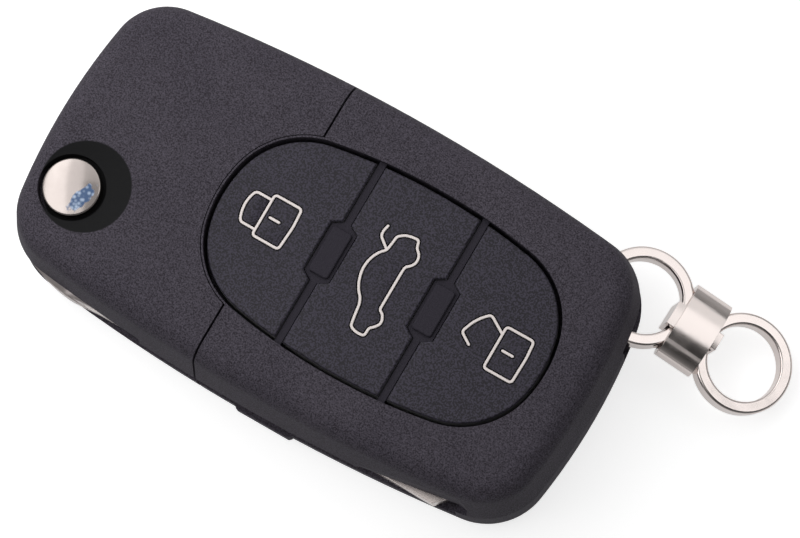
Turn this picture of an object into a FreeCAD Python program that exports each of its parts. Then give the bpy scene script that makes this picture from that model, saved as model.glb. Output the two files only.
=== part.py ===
# Flip key: a two-part case with a fold-out blade, three buttons over a coin-cell remote and a ring chain.
# Frame: millimetres, origin at the centre of the flat back, +X from the blade hinge to the rings,
# +Y away from the blade slot and +Z out through the buttons.
import FreeCAD, Part
import math
import os
import Sketcher

V = FreeCAD.Vector

os.makedirs("parts", exist_ok=True)
doc = FreeCAD.newDocument("flip_key")
sheet = doc.addObject("Spreadsheet::Sheet", "dims")


class Size:
    """A length that carries its number and the expression that binds it to the sheet."""

    def __init__(self, value, text):
        self.value = float(value)
        self.text = text

    def __add__(self, other):
        other = as_size(other)
        return Size(self.value + other.value, f"({self.text} + {other.text})")

    def __sub__(self, other):
        other = as_size(other)
        return Size(self.value - other.value, f"({self.text} - {other.text})")

    def __mul__(self, other):
        other = as_size(other)
        return Size(self.value * other.value, f"({self.text} * {other.text})")

    def __truediv__(self, other):
        other = as_size(other)
        return Size(self.value / other.value, f"({self.text} / {other.text})")

    def __neg__(self):
        return Size(-self.value, f"(0 - {self.text})")

    def __radd__(self, other):
        return as_size(other) + self

    def __rsub__(self, other):
        return as_size(other) - self

    def __rmul__(self, other):
        return as_size(other) * self


def as_size(number):
    return number if isinstance(number, Size) else Size(number, repr(float(number)))


rows = []


def size(alias, value):
    """Writes one driving dimension into the sheet and hands back its bound value."""
    rows.append(alias)
    cell = f"B{len(rows)}"
    sheet.set(f"A{len(rows)}", alias)
    sheet.set(cell, str(value))
    sheet.setAlias(cell, alias)
    return Size(value, f"dims.{alias}")


# Case outside
case_length = size("case_length", 68)
case_width = size("case_width", 37.2)
case_thick = size("case_thick", 15)
side_arc = size("side_arc", 220)
side_draft = size("side_draft", 10)
end_arc = size("end_arc", 70)
corner_round = size("corner_round", 7.5)
top_round = size("top_round", 2.6)
back_round = size("back_round", 3)
side_wall = size("side_wall", 2.6)
side_belly = size("side_belly", 1.5)
top_wall = size("top_wall", 1.8)
back_wall = size("back_wall", 1.5)
parting_z = size("parting_z", 7.6)
head_length = size("head_length", 28.1)
seam_gap = size("seam_gap", 0.25)
cavity_round = size("cavity_round", 6)
fit_gap = size("fit_gap", 0.3)
seat_gap = size("seat_gap", 0.05)
cut_over = size("cut_over", 1)
root_sunk = size("root_sunk", 0.5)
roof_root = size("roof_root", 0.3)
lap_thick = size("lap_thick", 1.2)
lap_reach = size("lap_reach", 3)
lap_root = size("lap_root", 1)
lap_low = size("lap_low", -6.6)
lap_high = size("lap_high", 7.8)

# Blade hinge and release button
pivot_inset_x = size("pivot_inset_x", 6.9)
pivot_inset_y = size("pivot_inset_y", 10.9)
hub_radius = size("hub_radius", 4.6)
hub_wall = size("hub_wall", 0.6)
hub_floor = size("hub_floor", 2.9)
hub_gap_z = size("hub_gap_z", 0.2)
spigot_radius = size("spigot_radius", 1.5)
spigot_height = size("spigot_height", 2.8)
run_gap = size("run_gap", 0.06)
collar_wall = size("collar_wall", 0.6)
collar_depth = size("collar_depth", 2.5)
button_radius = size("button_radius", 3.25)
button_hole_radius = size("button_hole_radius", 3.75)
button_proud = size("button_proud", 0.5)
button_dome = size("button_dome", 0.7)
button_travel = size("button_travel", 2)
flange_thick = size("flange_thick", 1.2)
flange_proud = size("flange_proud", 0.1)
stem_radius = size("stem_radius", 1.3)
stem_length = size("stem_length", 4.8)
lug_width = size("lug_width", 1.6)
lug_gap = size("lug_gap", 0.1)
lug_spare = size("lug_spare", 0.2)
dish_radius = size("dish_radius", 5.2)
dish_depth = size("dish_depth", 0.9)
dish_offset_x = size("dish_offset_x", 1.3)
dish_offset_y = size("dish_offset_y", 0.75)
spring_wire = size("spring_wire", 0.6)
spring_radius = size("spring_radius", 2.7)
spring_turns = size("spring_turns", 5)

# Blade and its carrier
blade_width = size("blade_width", 7)
blade_thick = size("blade_thick", 2.4)
blade_offset = size("blade_offset", 6.3)
blade_tip_inset = size("blade_tip_inset", 8.4)
blade_root = size("blade_root", 6.1)
blade_z = size("blade_z", 6.2)
blade_point = size("blade_point", 2)
blade_groove_width = size("blade_groove_width", 1.9)
blade_groove_depth = size("blade_groove_depth", 0.5)
blade_groove_start = size("blade_groove_start", 18)
carrier_thick = size("carrier_thick", 4.8)
carrier_lip = size("carrier_lip", 0.15)
carrier_reach = size("carrier_reach", 13.6)
heel_round = size("heel_round", 16.6)
heel_lead = size("heel_lead", 4)
heel_depth = size("heel_depth", 10)
heel_back = size("heel_back", 3.3)
heel_cheek = size("heel_cheek", 4)
heel_cheek_depth = size("heel_cheek_depth", 4.3)
heel_run = size("heel_run", 8)
fork_inset = size("fork_inset", 0.1)
pin_radius = size("pin_radius", 0.8)
pin_wall = size("pin_wall", 0.3)
pin_reach = size("pin_reach", 9.6)
pin_gap = size("pin_gap", 0.02)
pin_slit = size("pin_slit", 0.24)
slot_gap_z = size("slot_gap_z", 0.2)
swing_gap = size("swing_gap", 0.3)
scoop_start = size("scoop_start", 11.5)
scoop_start_depth = size("scoop_start_depth", 0.65)
scoop_depth = size("scoop_depth", 2.45)
scoop_end_depth = size("scoop_end_depth", 2.2)
scoop_step = size("scoop_step", 1.3)

# Button well, bars and caps
well_end_inset = size("well_end_inset", 6.05)
well_start_inset = size("well_start_inset", 21.25)
well_half_width = size("well_half_width", 11.75)
well_side_arc = size("well_side_arc", 70)
well_end_arc = size("well_end_arc", 15)
well_corner = size("well_corner", 9.5)
well_depth = size("well_depth", 4)
deck_thick = size("deck_thick", 0.8)
cap_gap = size("cap_gap", 0.45)
cap_thick = size("cap_thick", 2.65)
cap_sunk = size("cap_sunk", 0.25)
cap_travel = size("cap_travel", 0.3)
cap_stem_radius = size("cap_stem_radius", 1.2)
bar_pitch = size("bar_pitch", 12.9)
bar_width = size("bar_width", 0.8)
bar_sunk = size("bar_sunk", 0.7)
bar_gap = size("bar_gap", 0.12)
bar_root = size("bar_root", 0.3)
island_width = size("island_width", 2.4)
island_length = size("island_length", 5.6)
island_corner = size("island_corner", 0.35)
island_round = size("island_round", 0.2)
moat_width = size("moat_width", 3.3)
moat_length = size("moat_length", 5.9)
moat_flare = size("moat_flare", 0.7)
island_sunk = size("island_sunk", 0.3)
rim_width = size("rim_width", 0.2)
rim_gap = size("rim_gap", 0.1)
tongue_wall = size("tongue_wall", 1.3)
tongue_gap = size("tongue_gap", 0.2)
rim_root = size("rim_root", 1)
mat_thick = size("mat_thick", 0.6)
mat_dome_radius = size("mat_dome_radius", 3.2)
mat_dome_height = size("mat_dome_height", 0.15)
mat_dome_root = size("mat_dome_root", 0.1)
key_pitch = size("key_pitch", 13.5)

# Electronics
board_thick = size("board_thick", 1)
board_lead = size("board_lead", 6.1)
board_inset = size("board_inset", 4.3)
board_low = size("board_low", -8.7)
board_high = size("board_high", 14.3)
board_gap = size("board_gap", 0.3)
bay_low = size("bay_low", -7.6)
bay_high = size("bay_high", 13.8)
bay_inset = size("bay_inset", 5.4)
bay_web = size("bay_web", 1)
cell_radius = size("cell_radius", 10)
cell_thick = size("cell_thick", 3.2)
cell_step = size("cell_step", 1.3)
cell_lid = size("cell_lid", 0.3)
contact_thick = size("contact_thick", 0.3)
contact_width = size("contact_width", 5)
riser_gap = size("riser_gap", 0.6)
plate_short = size("plate_short", 2)
leaf_back = size("leaf_back", 6)
leaf_front = size("leaf_front", 5)
leaf_bend = size("leaf_bend", 3)
leaf_slant = size("leaf_slant", 0.1)
switch_side = size("switch_side", 4.5)
switch_tall = size("switch_tall", 1.1)
plunger_radius = size("plunger_radius", 1)
plunger_proud = size("plunger_proud", 0.3)
plunger_sunk = size("plunger_sunk", 0.5)
chip_length = size("chip_length", 6.5)
chip_width = size("chip_width", 4.4)
chip_tall = size("chip_tall", 1.1)
chip_gap = size("chip_gap", 1.5)
chip_drop = size("chip_drop", 6)
resonator_side = size("resonator_side", 4)
resonator_tall = size("resonator_tall", 1.4)
capacitor_long = size("capacitor_long", 1)
capacitor_side = size("capacitor_side", 0.5)
capacitor_back = size("capacitor_back", 3)
capacitor_rise = size("capacitor_rise", 3.5)
capacitor_pitch = size("capacitor_pitch", 1.7)
capacitor_row = size("capacitor_row", 1.6)
capsule_radius = size("capsule_radius", 1.55)
capsule_length = size("capsule_length", 12)
capsule_inset_x = size("capsule_inset_x", 16)
capsule_inset_y = size("capsule_inset_y", 7.4)
capsule_lift = size("capsule_lift", 0.2)
cradle_width = size("cradle_width", 1)
cradle_pitch = size("cradle_pitch", 7)
cradle_side = size("cradle_side", 1)

# Screws from the back
boss_radius = size("boss_radius", 2.4)
screw_radius = size("screw_radius", 0.95)
screw_head_radius = size("screw_head_radius", 1.8)
screw_head_tall = size("screw_head_tall", 1.2)
screw_sunk = size("screw_sunk", 0.4)
screw_bite = size("screw_bite", 1.8)
bore_spare = size("bore_spare", 0.5)
screw_gap = size("screw_gap", 0.15)
screw_slot = size("screw_slot", 0.5)
screw_slot_depth = size("screw_slot_depth", 0.6)
screw_slot_reach = size("screw_slot_reach", 1.17)
screw_one_inset_x = size("screw_one_inset_x", 6.5)
screw_one_inset_y = size("screw_one_inset_y", 7.9)
screw_two_lead_x = size("screw_two_lead_x", 8.9)
screw_two_lead_y = size("screw_two_lead_y", 12.2)
screw_three_inset_x = size("screw_three_inset_x", 8)
screw_three_y = size("screw_three_y", -3)

# Ring chain
ring_inner = size("ring_inner", 4.25)
ring_outer = size("ring_outer", 5.65)
ring_thick = size("ring_thick", 1.9)
ring_round = size("ring_round", 0.3)
ring_inset_x = size("ring_inset_x", 1.9)
ring_inset_y = size("ring_inset_y", 4.75)
ring_z = size("ring_z", 5.6)
ring_heading = size("ring_heading", -3)
ring_tilt = size("ring_tilt", 8)
outer_tilt = size("outer_tilt", 16)
ring_roll = size("ring_roll", -8)
post_radius = size("post_radius", 0.95)
post_inset_x = size("post_inset_x", 3.8)
post_inset_y = size("post_inset_y", 6.6)
pocket_radius = size("pocket_radius", 6.1)
pocket_reach = size("pocket_reach", 7)
pocket_floor = size("pocket_floor", 4)
pocket_roof = size("pocket_roof", 8.7)
mouth_length = size("mouth_length", 20)
sleeve_pitch = size("sleeve_pitch", 6.6)
sleeve_width = size("sleeve_width", 9.3)
sleeve_thick = size("sleeve_thick", 4.2)
sleeve_length = size("sleeve_length", 4.5)
sleeve_wall = size("sleeve_wall", 0.7)
sleeve_gap = size("sleeve_gap", 0.15)
web_width = size("web_width", 2.9)
web_tall = size("web_tall", 3.5)
outer_wall = size("outer_wall", 0.45)
outer_web_width = size("outer_web_width", 2)

# Side bump of the tail
bump_middle = size("bump_middle", 2.5)
bump_length = size("bump_length", 7.2)
bump_proud = size("bump_proud", 0.3)
bump_low = size("bump_low", 2.6)
bump_high = size("bump_high", 4.6)

# Places worked out from the sizes above
half_length = case_length / 2
half_width = case_width / 2
case_over = case_thick + cut_over
roof_z = case_thick - top_wall
seam_x = head_length - half_length
pivot_x = pivot_inset_x - half_length
pivot_y = pivot_inset_y - half_width
blade_reach = case_length - pivot_inset_x - blade_tip_inset
well_half_length = (case_length - well_start_inset - well_end_inset) / 2
well_x = half_length - well_end_inset - well_half_length
board_start = seam_x - board_lead
board_end = half_length - board_inset
bay_end = half_length - bay_inset
cell_x = (seam_x + bay_end) / 2
cell_y = (bay_low + bay_high) / 2
capsule_x = capsule_inset_x - half_length
capsule_y = half_width - capsule_inset_y
screw_one_x = screw_one_inset_x - half_length
screw_one_y = half_width - screw_one_inset_y
screw_two_x = pivot_x + screw_two_lead_x
screw_two_y = pivot_y + screw_two_lead_y
screw_three_x = half_length - screw_three_inset_x
ring_x = half_length - ring_inset_x
ring_y = half_width - ring_inset_y
post_x = half_length - post_inset_x
post_y = half_width - post_inset_y
bump_start = bump_middle - bump_length / 2
bump_end = bump_middle + bump_length / 2
blade_y = pivot_y - blade_offset
blade_low_y = blade_y - blade_width / 2
blade_high_y = blade_y + blade_width / 2
blade_bottom = blade_z - blade_thick / 2
blade_top = blade_z + blade_thick / 2
carrier_bottom = blade_z - carrier_thick / 2
carrier_top = blade_z + carrier_thick / 2
swing_bottom = carrier_bottom - slot_gap_z
swing_top = carrier_top + slot_gap_z
slot_bottom = blade_bottom - slot_gap_z
slot_high_y = blade_high_y + fit_gap
slot_end = pivot_x + blade_reach + 2 * fit_gap
open_high_y = pivot_y + blade_offset + blade_width / 2 + carrier_lip + swing_gap
head_cavity_reach = half_width - side_wall - side_belly
head_cavity_start = -half_length + side_wall
head_end = seam_x - seam_gap / 2
tail_start = seam_x + seam_gap / 2
well_floor = case_thick - well_depth
deck_bottom = well_floor - deck_thick
cap_top = case_thick - cap_sunk
cap_bottom = cap_top - cap_thick
board_bottom = parting_z
board_top = board_bottom + board_thick
switch_top = board_top + switch_tall
plunger_top = switch_top + plunger_proud
far_away = case_length
no_offset = as_size(0.0)


def plane(body, role):
    return next(f for f in body.Origin.OriginFeatures if f.Role == role)


def new_body(label):
    body = doc.addObject("PartDesign::Body", label)
    body.Label = label
    return body


def new_sketch(body, name, offset=0.0, role="XY_Plane"):
    sketch = body.newObject("Sketcher::SketchObject", name)
    sketch.AttachmentSupport = [(plane(body, role), "")]
    sketch.MapMode = "FlatFace"
    sketch.setExpression("AttachmentOffset.Base.z", as_size(offset).text)
    return sketch


def tie(sketch, kind, item, point, distance):
    """Holds a point of the sketch at a bound distance from the origin."""
    distance = as_size(distance)
    index = sketch.addConstraint(Sketcher.Constraint(kind, -1, 1, item, point, distance.value))
    sketch.setExpression(f"Constraints[{index}]", distance.text)


def tie_radius(sketch, item, radius):
    radius = as_size(radius)
    index = sketch.addConstraint(Sketcher.Constraint("Radius", item, radius.value))
    sketch.setExpression(f"Constraints[{index}]", radius.text)


def polygon(sketch, points):
    """A closed outline of straight lines through bound points."""
    points = [(as_size(px), as_size(py)) for px, py in points]
    ends = points[1:] + points[:1]
    lines = []
    for (ax, ay), (bx, by) in zip(points, ends):
        edge = Part.LineSegment(V(ax.value, ay.value, 0), V(bx.value, by.value, 0))
        lines.append(sketch.addGeometry(edge, False))
    for index, line in enumerate(lines):
        following = lines[(index + 1) % len(lines)]
        sketch.addConstraint(Sketcher.Constraint("Coincident", line, 2, following, 1))
    for line, (px, py) in zip(lines, points):
        tie(sketch, "DistanceX", line, 1, px)
        tie(sketch, "DistanceY", line, 1, py)


def rectangle(sketch, x0, x1, y0, y1):
    polygon(sketch, [(x0, y0), (x1, y0), (x1, y1), (x0, y1)])


def circle(sketch, x, y, radius):
    x, y, radius = as_size(x), as_size(y), as_size(radius)
    item = sketch.addGeometry(Part.Circle(V(x.value, y.value, 0), V(0, 0, 1), radius.value), False)
    tie(sketch, "DistanceX", item, 3, x)
    tie(sketch, "DistanceY", item, 3, y)
    tie_radius(sketch, item, radius)


def barrel(sketch, x, half_long, half_wide, side_r, end_r, corner_r):
    """A barrel-sided rounded rectangle of eight tangent arcs, centred on (x, 0)."""
    long_reach = half_long - end_r
    wide_reach = half_wide - side_r
    # Centre of the corner arc: inside tangency with the side arc and the end arc.
    gap = math.hypot(long_reach.value, wide_reach.value)
    p = (side_r - corner_r).value
    q = (end_r - corner_r).value
    along = (p * p - q * q + gap * gap) / (2 * gap)
    aside = math.sqrt(p * p - along * along)
    ux, uy = long_reach.value / gap, -wide_reach.value / gap
    options = [(ux * along - uy * aside * side, wide_reach.value + uy * along + ux * aside * side)
               for side in (1, -1)]
    corner_x, corner_y = max(options, key=sum)
    side_angle = math.atan2(corner_y - wide_reach.value, corner_x)
    end_angle = math.atan2(corner_y, corner_x - long_reach.value)
    turn = math.pi
    middle = as_size(x)
    arcs = [(long_reach.value, 0, end_r, -end_angle, end_angle),
            (corner_x, corner_y, corner_r, end_angle, side_angle),
            (0, wide_reach.value, side_r, side_angle, turn - side_angle),
            (-corner_x, corner_y, corner_r, turn - side_angle, turn - end_angle),
            (-long_reach.value, 0, end_r, turn - end_angle, turn + end_angle),
            (-corner_x, -corner_y, corner_r, turn + end_angle, turn + side_angle),
            (0, -wide_reach.value, side_r, turn + side_angle, 2 * turn - side_angle),
            (corner_x, -corner_y, corner_r, 2 * turn - side_angle, 2 * turn - end_angle)]
    items = []
    for cx, cy, radius, start, end in arcs:
        ring = Part.Circle(V(middle.value + cx, cy, 0), V(0, 0, 1), radius.value)
        items.append(sketch.addGeometry(Part.ArcOfCircle(ring, start, end), False))
    for index, item in enumerate(items):
        sketch.addConstraint(Sketcher.Constraint("Tangent", item, 2, items[(index + 1) % 8], 1))
    for item, arc in zip(items, arcs):
        tie_radius(sketch, item, arc[2])
    right, top, left, bottom = items[0::2]
    tie(sketch, "DistanceX", right, 3, middle + long_reach)
    tie(sketch, "DistanceX", left, 3, middle - long_reach)
    tie(sketch, "DistanceY", top, 3, wide_reach)
    tie(sketch, "DistanceY", bottom, 3, -wide_reach)
    tie(sketch, "DistanceY", right, 3, 0.0)
    tie(sketch, "DistanceY", left, 3, 0.0)
    tie(sketch, "DistanceX", top, 3, middle)
    tie(sketch, "DistanceX", bottom, 3, middle)


def case_outline(sketch):
    barrel(sketch, 0.0, half_length, half_width, side_arc, end_arc, corner_round)


def well_outline(sketch, offset):
    """The oval of the button well, grown or shrunk by an offset."""
    barrel(sketch, well_x, well_half_length + offset, well_half_width + offset,
           well_side_arc + offset, well_end_arc + offset, well_corner + offset)


def pad(body, sketch, length):
    feature = body.newObject("PartDesign::Pad", sketch.Name + "_pad")
    feature.Profile = sketch
    feature.setExpression("Length", as_size(length).text)
    return feature


def pocket(body, sketch, length):
    """Cuts from the sketch plane along its own normal."""
    feature = body.newObject("PartDesign::Pocket", sketch.Name + "_pocket")
    feature.Profile = sketch
    feature.Reversed = True
    feature.setExpression("Length", as_size(length).text)
    return feature


def revolve(body, sketch):
    feature = body.newObject("PartDesign::Revolution", sketch.Name + "_turn")
    feature.Profile = sketch
    feature.ReferenceAxis = (sketch, ["V_Axis"])
    feature.Angle = 360
    return feature


def fillet(body, radius, wanted, upright=False):
    """Rounds the edges of the body's tip whose every vertex is wanted, or only the upright ones."""
    doc.recompute()
    base = body.Tip
    edges = [f"Edge{index + 1}" for index, edge in enumerate(base.Shape.Edges)
             if all(wanted(vertex.Point) for vertex in edge.Vertexes)
             and not (upright and edge.BoundBox.ZLength < 1e-3)]
    feature = body.newObject("PartDesign::Fillet", base.Name + "_round")
    feature.Base = (base, edges)
    feature.Radius = radius.value
    feature.setExpression("Radius", radius.text)
    doc.recompute()
    return feature


def at_height(z):
    return lambda point: abs(point.z - z.value) < 1e-6


def pad_shape(body, name, z0, z1, draw):
    sketch = new_sketch(body, name, z0)
    draw(sketch)
    return pad(body, sketch, z1 - z0)


def cut_shape(body, name, z0, z1, draw):
    sketch = new_sketch(body, name, z0)
    draw(sketch)
    return pocket(body, sketch, z1 - z0)


screws = [(screw_one_x, screw_one_y), (screw_two_x, screw_two_y), (screw_three_x, screw_three_y)]
head_screws = screws[:2]
tail_screws = screws[2:]
seat_z = screw_sunk + screw_head_tall


def cavity(sketch, x0, x1, y_reach):
    """The hollow of the head, square at the seam and rounded at the hinge end."""
    low = -y_reach
    high = y_reach
    r = cavity_round
    quarter = r * (1 - math.sqrt(0.5))
    polygon(sketch, [(x1, low), (x1, high), (x0 + r, high), (x0 + quarter, high - quarter),
                     (x0, high - r), (x0, low + r), (x0 + quarter, low + quarter), (x0 + r, low)])


def swing_outline(sketch):
    """The walls that the blade and its carrier sweep through at the hinge end and the slot side."""
    left = -half_length - fit_gap
    right = pivot_x + carrier_reach + fit_gap
    polygon(sketch, [(left, -far_away), (right, -far_away), (right, pivot_y),
                     (pivot_x, pivot_y), (pivot_x, open_high_y), (left, open_high_y)])



# Head, back half
head_lower = new_body("head_lower_shell")
pad_shape(head_lower, "hl_outline", as_size(0.0), parting_z, case_outline)
fillet(head_lower, back_round, at_height(as_size(0.0)))
cut_shape(head_lower, "hl_seam", -cut_over, case_thick,
          lambda s: rectangle(s, head_end, far_away, -far_away, far_away))
cut_shape(head_lower, "hl_cavity", back_wall, case_thick,
          lambda s: cavity(s, head_cavity_start, far_away, head_cavity_reach))
cut_shape(head_lower, "hl_swing", swing_bottom, case_thick, swing_outline)
cut_shape(head_lower, "hl_hub_recess", back_wall, case_thick,
          lambda s: circle(s, pivot_x, pivot_y, hub_radius + fit_gap))
cut_shape(head_lower, "hl_slot", slot_bottom, case_thick,
          lambda s: rectangle(s, pivot_x, far_away, -far_away, slot_high_y))
pad_shape(head_lower, "hl_spigot", back_wall - root_sunk, back_wall + spigot_height,
          lambda s: circle(s, pivot_x, pivot_y, spigot_radius))
for number, (sx, sy) in enumerate(head_screws):
    pad_shape(head_lower, f"hl_boss_{number}", back_wall - root_sunk, parting_z,
              lambda s: circle(s, sx, sy, boss_radius))
for number, (sx, sy) in enumerate(head_screws):
    cut_shape(head_lower, f"hl_bore_{number}", -cut_over, case_thick,
              lambda s: circle(s, sx, sy, screw_radius + screw_gap))
    cut_shape(head_lower, f"hl_sink_{number}", -cut_over, seat_z,
              lambda s: circle(s, sx, sy, screw_head_radius + screw_gap))
capsule_z = back_wall + capsule_lift + capsule_radius
for number, side in enumerate((-1, 1)):
    rib_x = capsule_x + side * cradle_pitch / 2
    pad_shape(head_lower, f"hl_cradle_{number}", back_wall - root_sunk, capsule_z,
              lambda s: rectangle(s, rib_x - cradle_width / 2, rib_x + cradle_width / 2,
                                  capsule_y - capsule_radius - cradle_side,
                                  capsule_y + capsule_radius + cradle_side))
cradle = new_sketch(head_lower, "hl_cradle_groove", capsule_x - capsule_length / 2, "YZ_Plane")
circle(cradle, capsule_y, capsule_z, capsule_radius + run_gap)
pocket(head_lower, cradle, capsule_length)



def leaning_pad(body, name):
    """The button half's block, whose sides lean inward up to the top."""
    block = pad_shape(body, name, parting_z, case_thick, case_outline)
    block.TaperAngle = -side_draft.value
    block.setExpression("TaperAngle", (-side_draft).text)


# Head, button half
head_upper = new_body("head_upper_shell")
leaning_pad(head_upper, "hu_outline")
fillet(head_upper, top_round, at_height(case_thick))
cut_shape(head_upper, "hu_seam", as_size(0.0), case_over,
          lambda s: rectangle(s, head_end, far_away, -far_away, far_away))
cut_shape(head_upper, "hu_cavity", as_size(0.0), roof_z,
          lambda s: cavity(s, head_cavity_start, far_away, head_cavity_reach))
cut_shape(head_upper, "hu_swing", as_size(0.0), swing_top, swing_outline)
cut_shape(head_upper, "hu_well", roof_z - rim_root, case_over,
          lambda s: well_outline(s, rim_width + rim_gap))
collar_outer = hub_radius + run_gap + collar_wall
pad_shape(head_upper, "hu_collar", roof_z - collar_depth, roof_z + roof_root,
          lambda s: circle(s, pivot_x, pivot_y, collar_outer))
cut_shape(head_upper, "hu_collar_bore", as_size(0.0), roof_z,
          lambda s: circle(s, pivot_x, pivot_y, hub_radius + run_gap))
for number, (sx, sy) in enumerate(head_screws):
    pad_shape(head_upper, f"hu_boss_{number}", parting_z, roof_z + roof_root,
              lambda s: circle(s, sx, sy, boss_radius))
    cut_shape(head_upper, f"hu_bore_{number}", as_size(0.0), parting_z + screw_bite + bore_spare,
              lambda s: circle(s, sx, sy, screw_radius))
cut_shape(head_upper, "hu_button_hole", as_size(0.0), case_over,
          lambda s: circle(s, pivot_x, pivot_y, button_hole_radius))
# The dish round the button is a shallow ball-shaped hollow beside the hole's axis.
ball_radius = (dish_radius * dish_radius + dish_depth * dish_depth) / (2 * dish_depth)
dish = new_sketch(head_upper, "hu_dish", -(pivot_y + dish_offset_y), "XZ_Plane")
dish_x = pivot_x + dish_offset_x
dish_low = case_thick - dish_depth
mid_x = dish_radius / 2
mid_z = dish_low + ball_radius.value - math.sqrt(ball_radius.value ** 2 - mid_x.value ** 2)


def dish_profile(sketch):
    """Half of the dish's section: the axis, the rim line and the ball's arc."""
    low = V(dish_x.value, dish_low.value, 0)
    side = V((dish_x + dish_radius).value, case_thick.value, 0)
    side_over = V((dish_x + dish_radius).value, case_over.value, 0)
    over = V(dish_x.value, case_over.value, 0)
    arc = Part.Arc(low, V((dish_x + mid_x).value, mid_z.value, 0), side)
    curve = sketch.addGeometry(arc, False)
    wall = sketch.addGeometry(Part.LineSegment(side, side_over), False)
    lid = sketch.addGeometry(Part.LineSegment(side_over, over), False)
    axis = sketch.addGeometry(Part.LineSegment(over, low), False)
    for first, second in ((wall, lid), (lid, axis)):
        sketch.addConstraint(Sketcher.Constraint("Coincident", first, 2, second, 1))
    sketch.addConstraint(Sketcher.Constraint("Coincident", curve, 2, wall, 1))
    sketch.addConstraint(Sketcher.Constraint("Coincident", axis, 2, curve, 1))
    tie(sketch, "DistanceX", axis, 2, dish_x)
    tie(sketch, "DistanceY", axis, 2, dish_low)
    tie(sketch, "DistanceX", axis, 1, dish_x)
    tie(sketch, "DistanceY", axis, 1, case_over)
    tie(sketch, "DistanceX", wall, 1, dish_x + dish_radius)
    tie(sketch, "DistanceY", wall, 1, case_thick)
    tie(sketch, "DistanceX", wall, 2, dish_x + dish_radius)
    tie(sketch, "DistanceY", wall, 2, case_over)
    tie_radius(sketch, curve, ball_radius)
    return axis


dish_axis = dish_profile(dish)
groove = head_upper.newObject("PartDesign::Groove", "hu_dish_groove")
groove.Profile = dish
groove.ReferenceAxis = (dish, [f"Edge{dish_axis + 1}"])
groove.Angle = 360

# Tail, back half
tail_lower = new_body("tail_lower_shell")
pad_shape(tail_lower, "tl_outline", as_size(0.0), parting_z, case_outline)
fillet(tail_lower, back_round, at_height(as_size(0.0)))
cut_shape(tail_lower, "tl_seam", -cut_over, case_thick,
          lambda s: rectangle(s, -far_away, tail_start, -far_away, far_away))
bay_cut = post_x + post_y - (pocket_radius + bay_web) * math.sqrt(2)


def bay_outline(sketch):
    """The electronics bay, cut off slantwise beside the ring pocket."""
    bay_side = post_x - pocket_radius - bay_web
    bay_step = post_y - pocket_radius - bay_web
    polygon(sketch, [(-far_away, bay_low), (bay_end, bay_low), (bay_end, bay_step),
                     (bay_cut - bay_step, bay_step), (bay_side, bay_cut - bay_side),
                     (bay_side, bay_high), (-far_away, bay_high)])


cut_shape(tail_lower, "tl_bay", back_wall, case_thick, bay_outline)
cut_shape(tail_lower, "tl_slot", slot_bottom, case_thick,
          lambda s: rectangle(s, -far_away, slot_end, -far_away, slot_high_y))
cut_shape(tail_lower, "tl_ring_pocket", pocket_floor, case_thick,
          lambda s: circle(s, post_x, post_y, pocket_radius))
pull_angle = math.atan2((ring_y - post_y).value, (ring_x - post_x).value)
ux, uy = math.cos(pull_angle), math.sin(pull_angle)


def mouth_outline(sketch):
    """The pocket's open mouth, square to the pull of the chain."""
    right_x, right_y = post_x + uy * pocket_reach, post_y - ux * pocket_reach
    left_x, left_y = post_x - uy * pocket_reach, post_y + ux * pocket_reach
    polygon(sketch, [(right_x, right_y), (right_x + ux * mouth_length, right_y + uy * mouth_length),
                     (left_x + ux * mouth_length, left_y + uy * mouth_length), (left_x, left_y)])


cut_shape(tail_lower, "tl_ring_mouth", pocket_floor, case_thick, mouth_outline)
pad_shape(tail_lower, "tl_post", pocket_floor - root_sunk, pocket_roof,
          lambda s: circle(s, post_x, post_y, post_radius))
for number, (sx, sy) in enumerate(tail_screws):
    pad_shape(tail_lower, f"tl_boss_{number}", back_wall - root_sunk, parting_z,
              lambda s: circle(s, sx, sy, boss_radius))
    cut_shape(tail_lower, f"tl_bore_{number}", -cut_over, case_thick,
              lambda s: circle(s, sx, sy, screw_radius + screw_gap))
    cut_shape(tail_lower, f"tl_sink_{number}", -cut_over, seat_z,
              lambda s: circle(s, sx, sy, screw_head_radius + screw_gap))
pad_shape(tail_lower, "tl_bump", bump_low, bump_high,
          lambda s: polygon(s, [(bump_start, root_sunk - half_width), (bump_start, -half_width),
                                (bump_start + bump_proud, -half_width - bump_proud),
                                (bump_end - bump_proud, -half_width - bump_proud),
                                (bump_end, -half_width), (bump_end, root_sunk - half_width)]))
# The tongue that laps onto the head's floor.
pad_shape(tail_lower, "tl_lap", back_wall, back_wall + lap_thick,
          lambda s: rectangle(s, seam_x - lap_reach, seam_x + lap_root, lap_low, lap_high))
pad_shape(tail_lower, "tl_lap_root", back_wall - root_sunk, back_wall + lap_thick,
          lambda s: rectangle(s, tail_start, seam_x + lap_root, lap_low, lap_high))

# Tail, button half
tail_upper = new_body("tail_upper_shell")
leaning_pad(tail_upper, "tu_outline")
fillet(tail_upper, top_round, at_height(case_thick))
cut_shape(tail_upper, "tu_seam", as_size(0.0), case_over,
          lambda s: rectangle(s, -far_away, tail_start, -far_away, far_away))
pad_shape(tail_upper, "tu_tongue", deck_bottom, roof_z - tongue_gap,
          lambda s: well_outline(s, tongue_wall))
pad_shape(tail_upper, "tu_rim", roof_z - rim_root, case_thick, lambda s: well_outline(s, rim_width))
cut_shape(tail_upper, "tu_well", well_floor, case_over, lambda s: well_outline(s, no_offset))
cut_shape(tail_upper, "tu_ring_pocket", as_size(0.0), pocket_roof,
          lambda s: circle(s, post_x, post_y, pocket_radius))
cut_shape(tail_upper, "tu_ring_mouth", as_size(0.0), pocket_roof, mouth_outline)
bars = [well_x - bar_pitch / 2, well_x + bar_pitch / 2]
mat_top = well_floor + mat_thick
bar_low = mat_top + seat_gap
bar_top = case_thick - bar_sunk
island_top = case_thick - island_sunk


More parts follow.
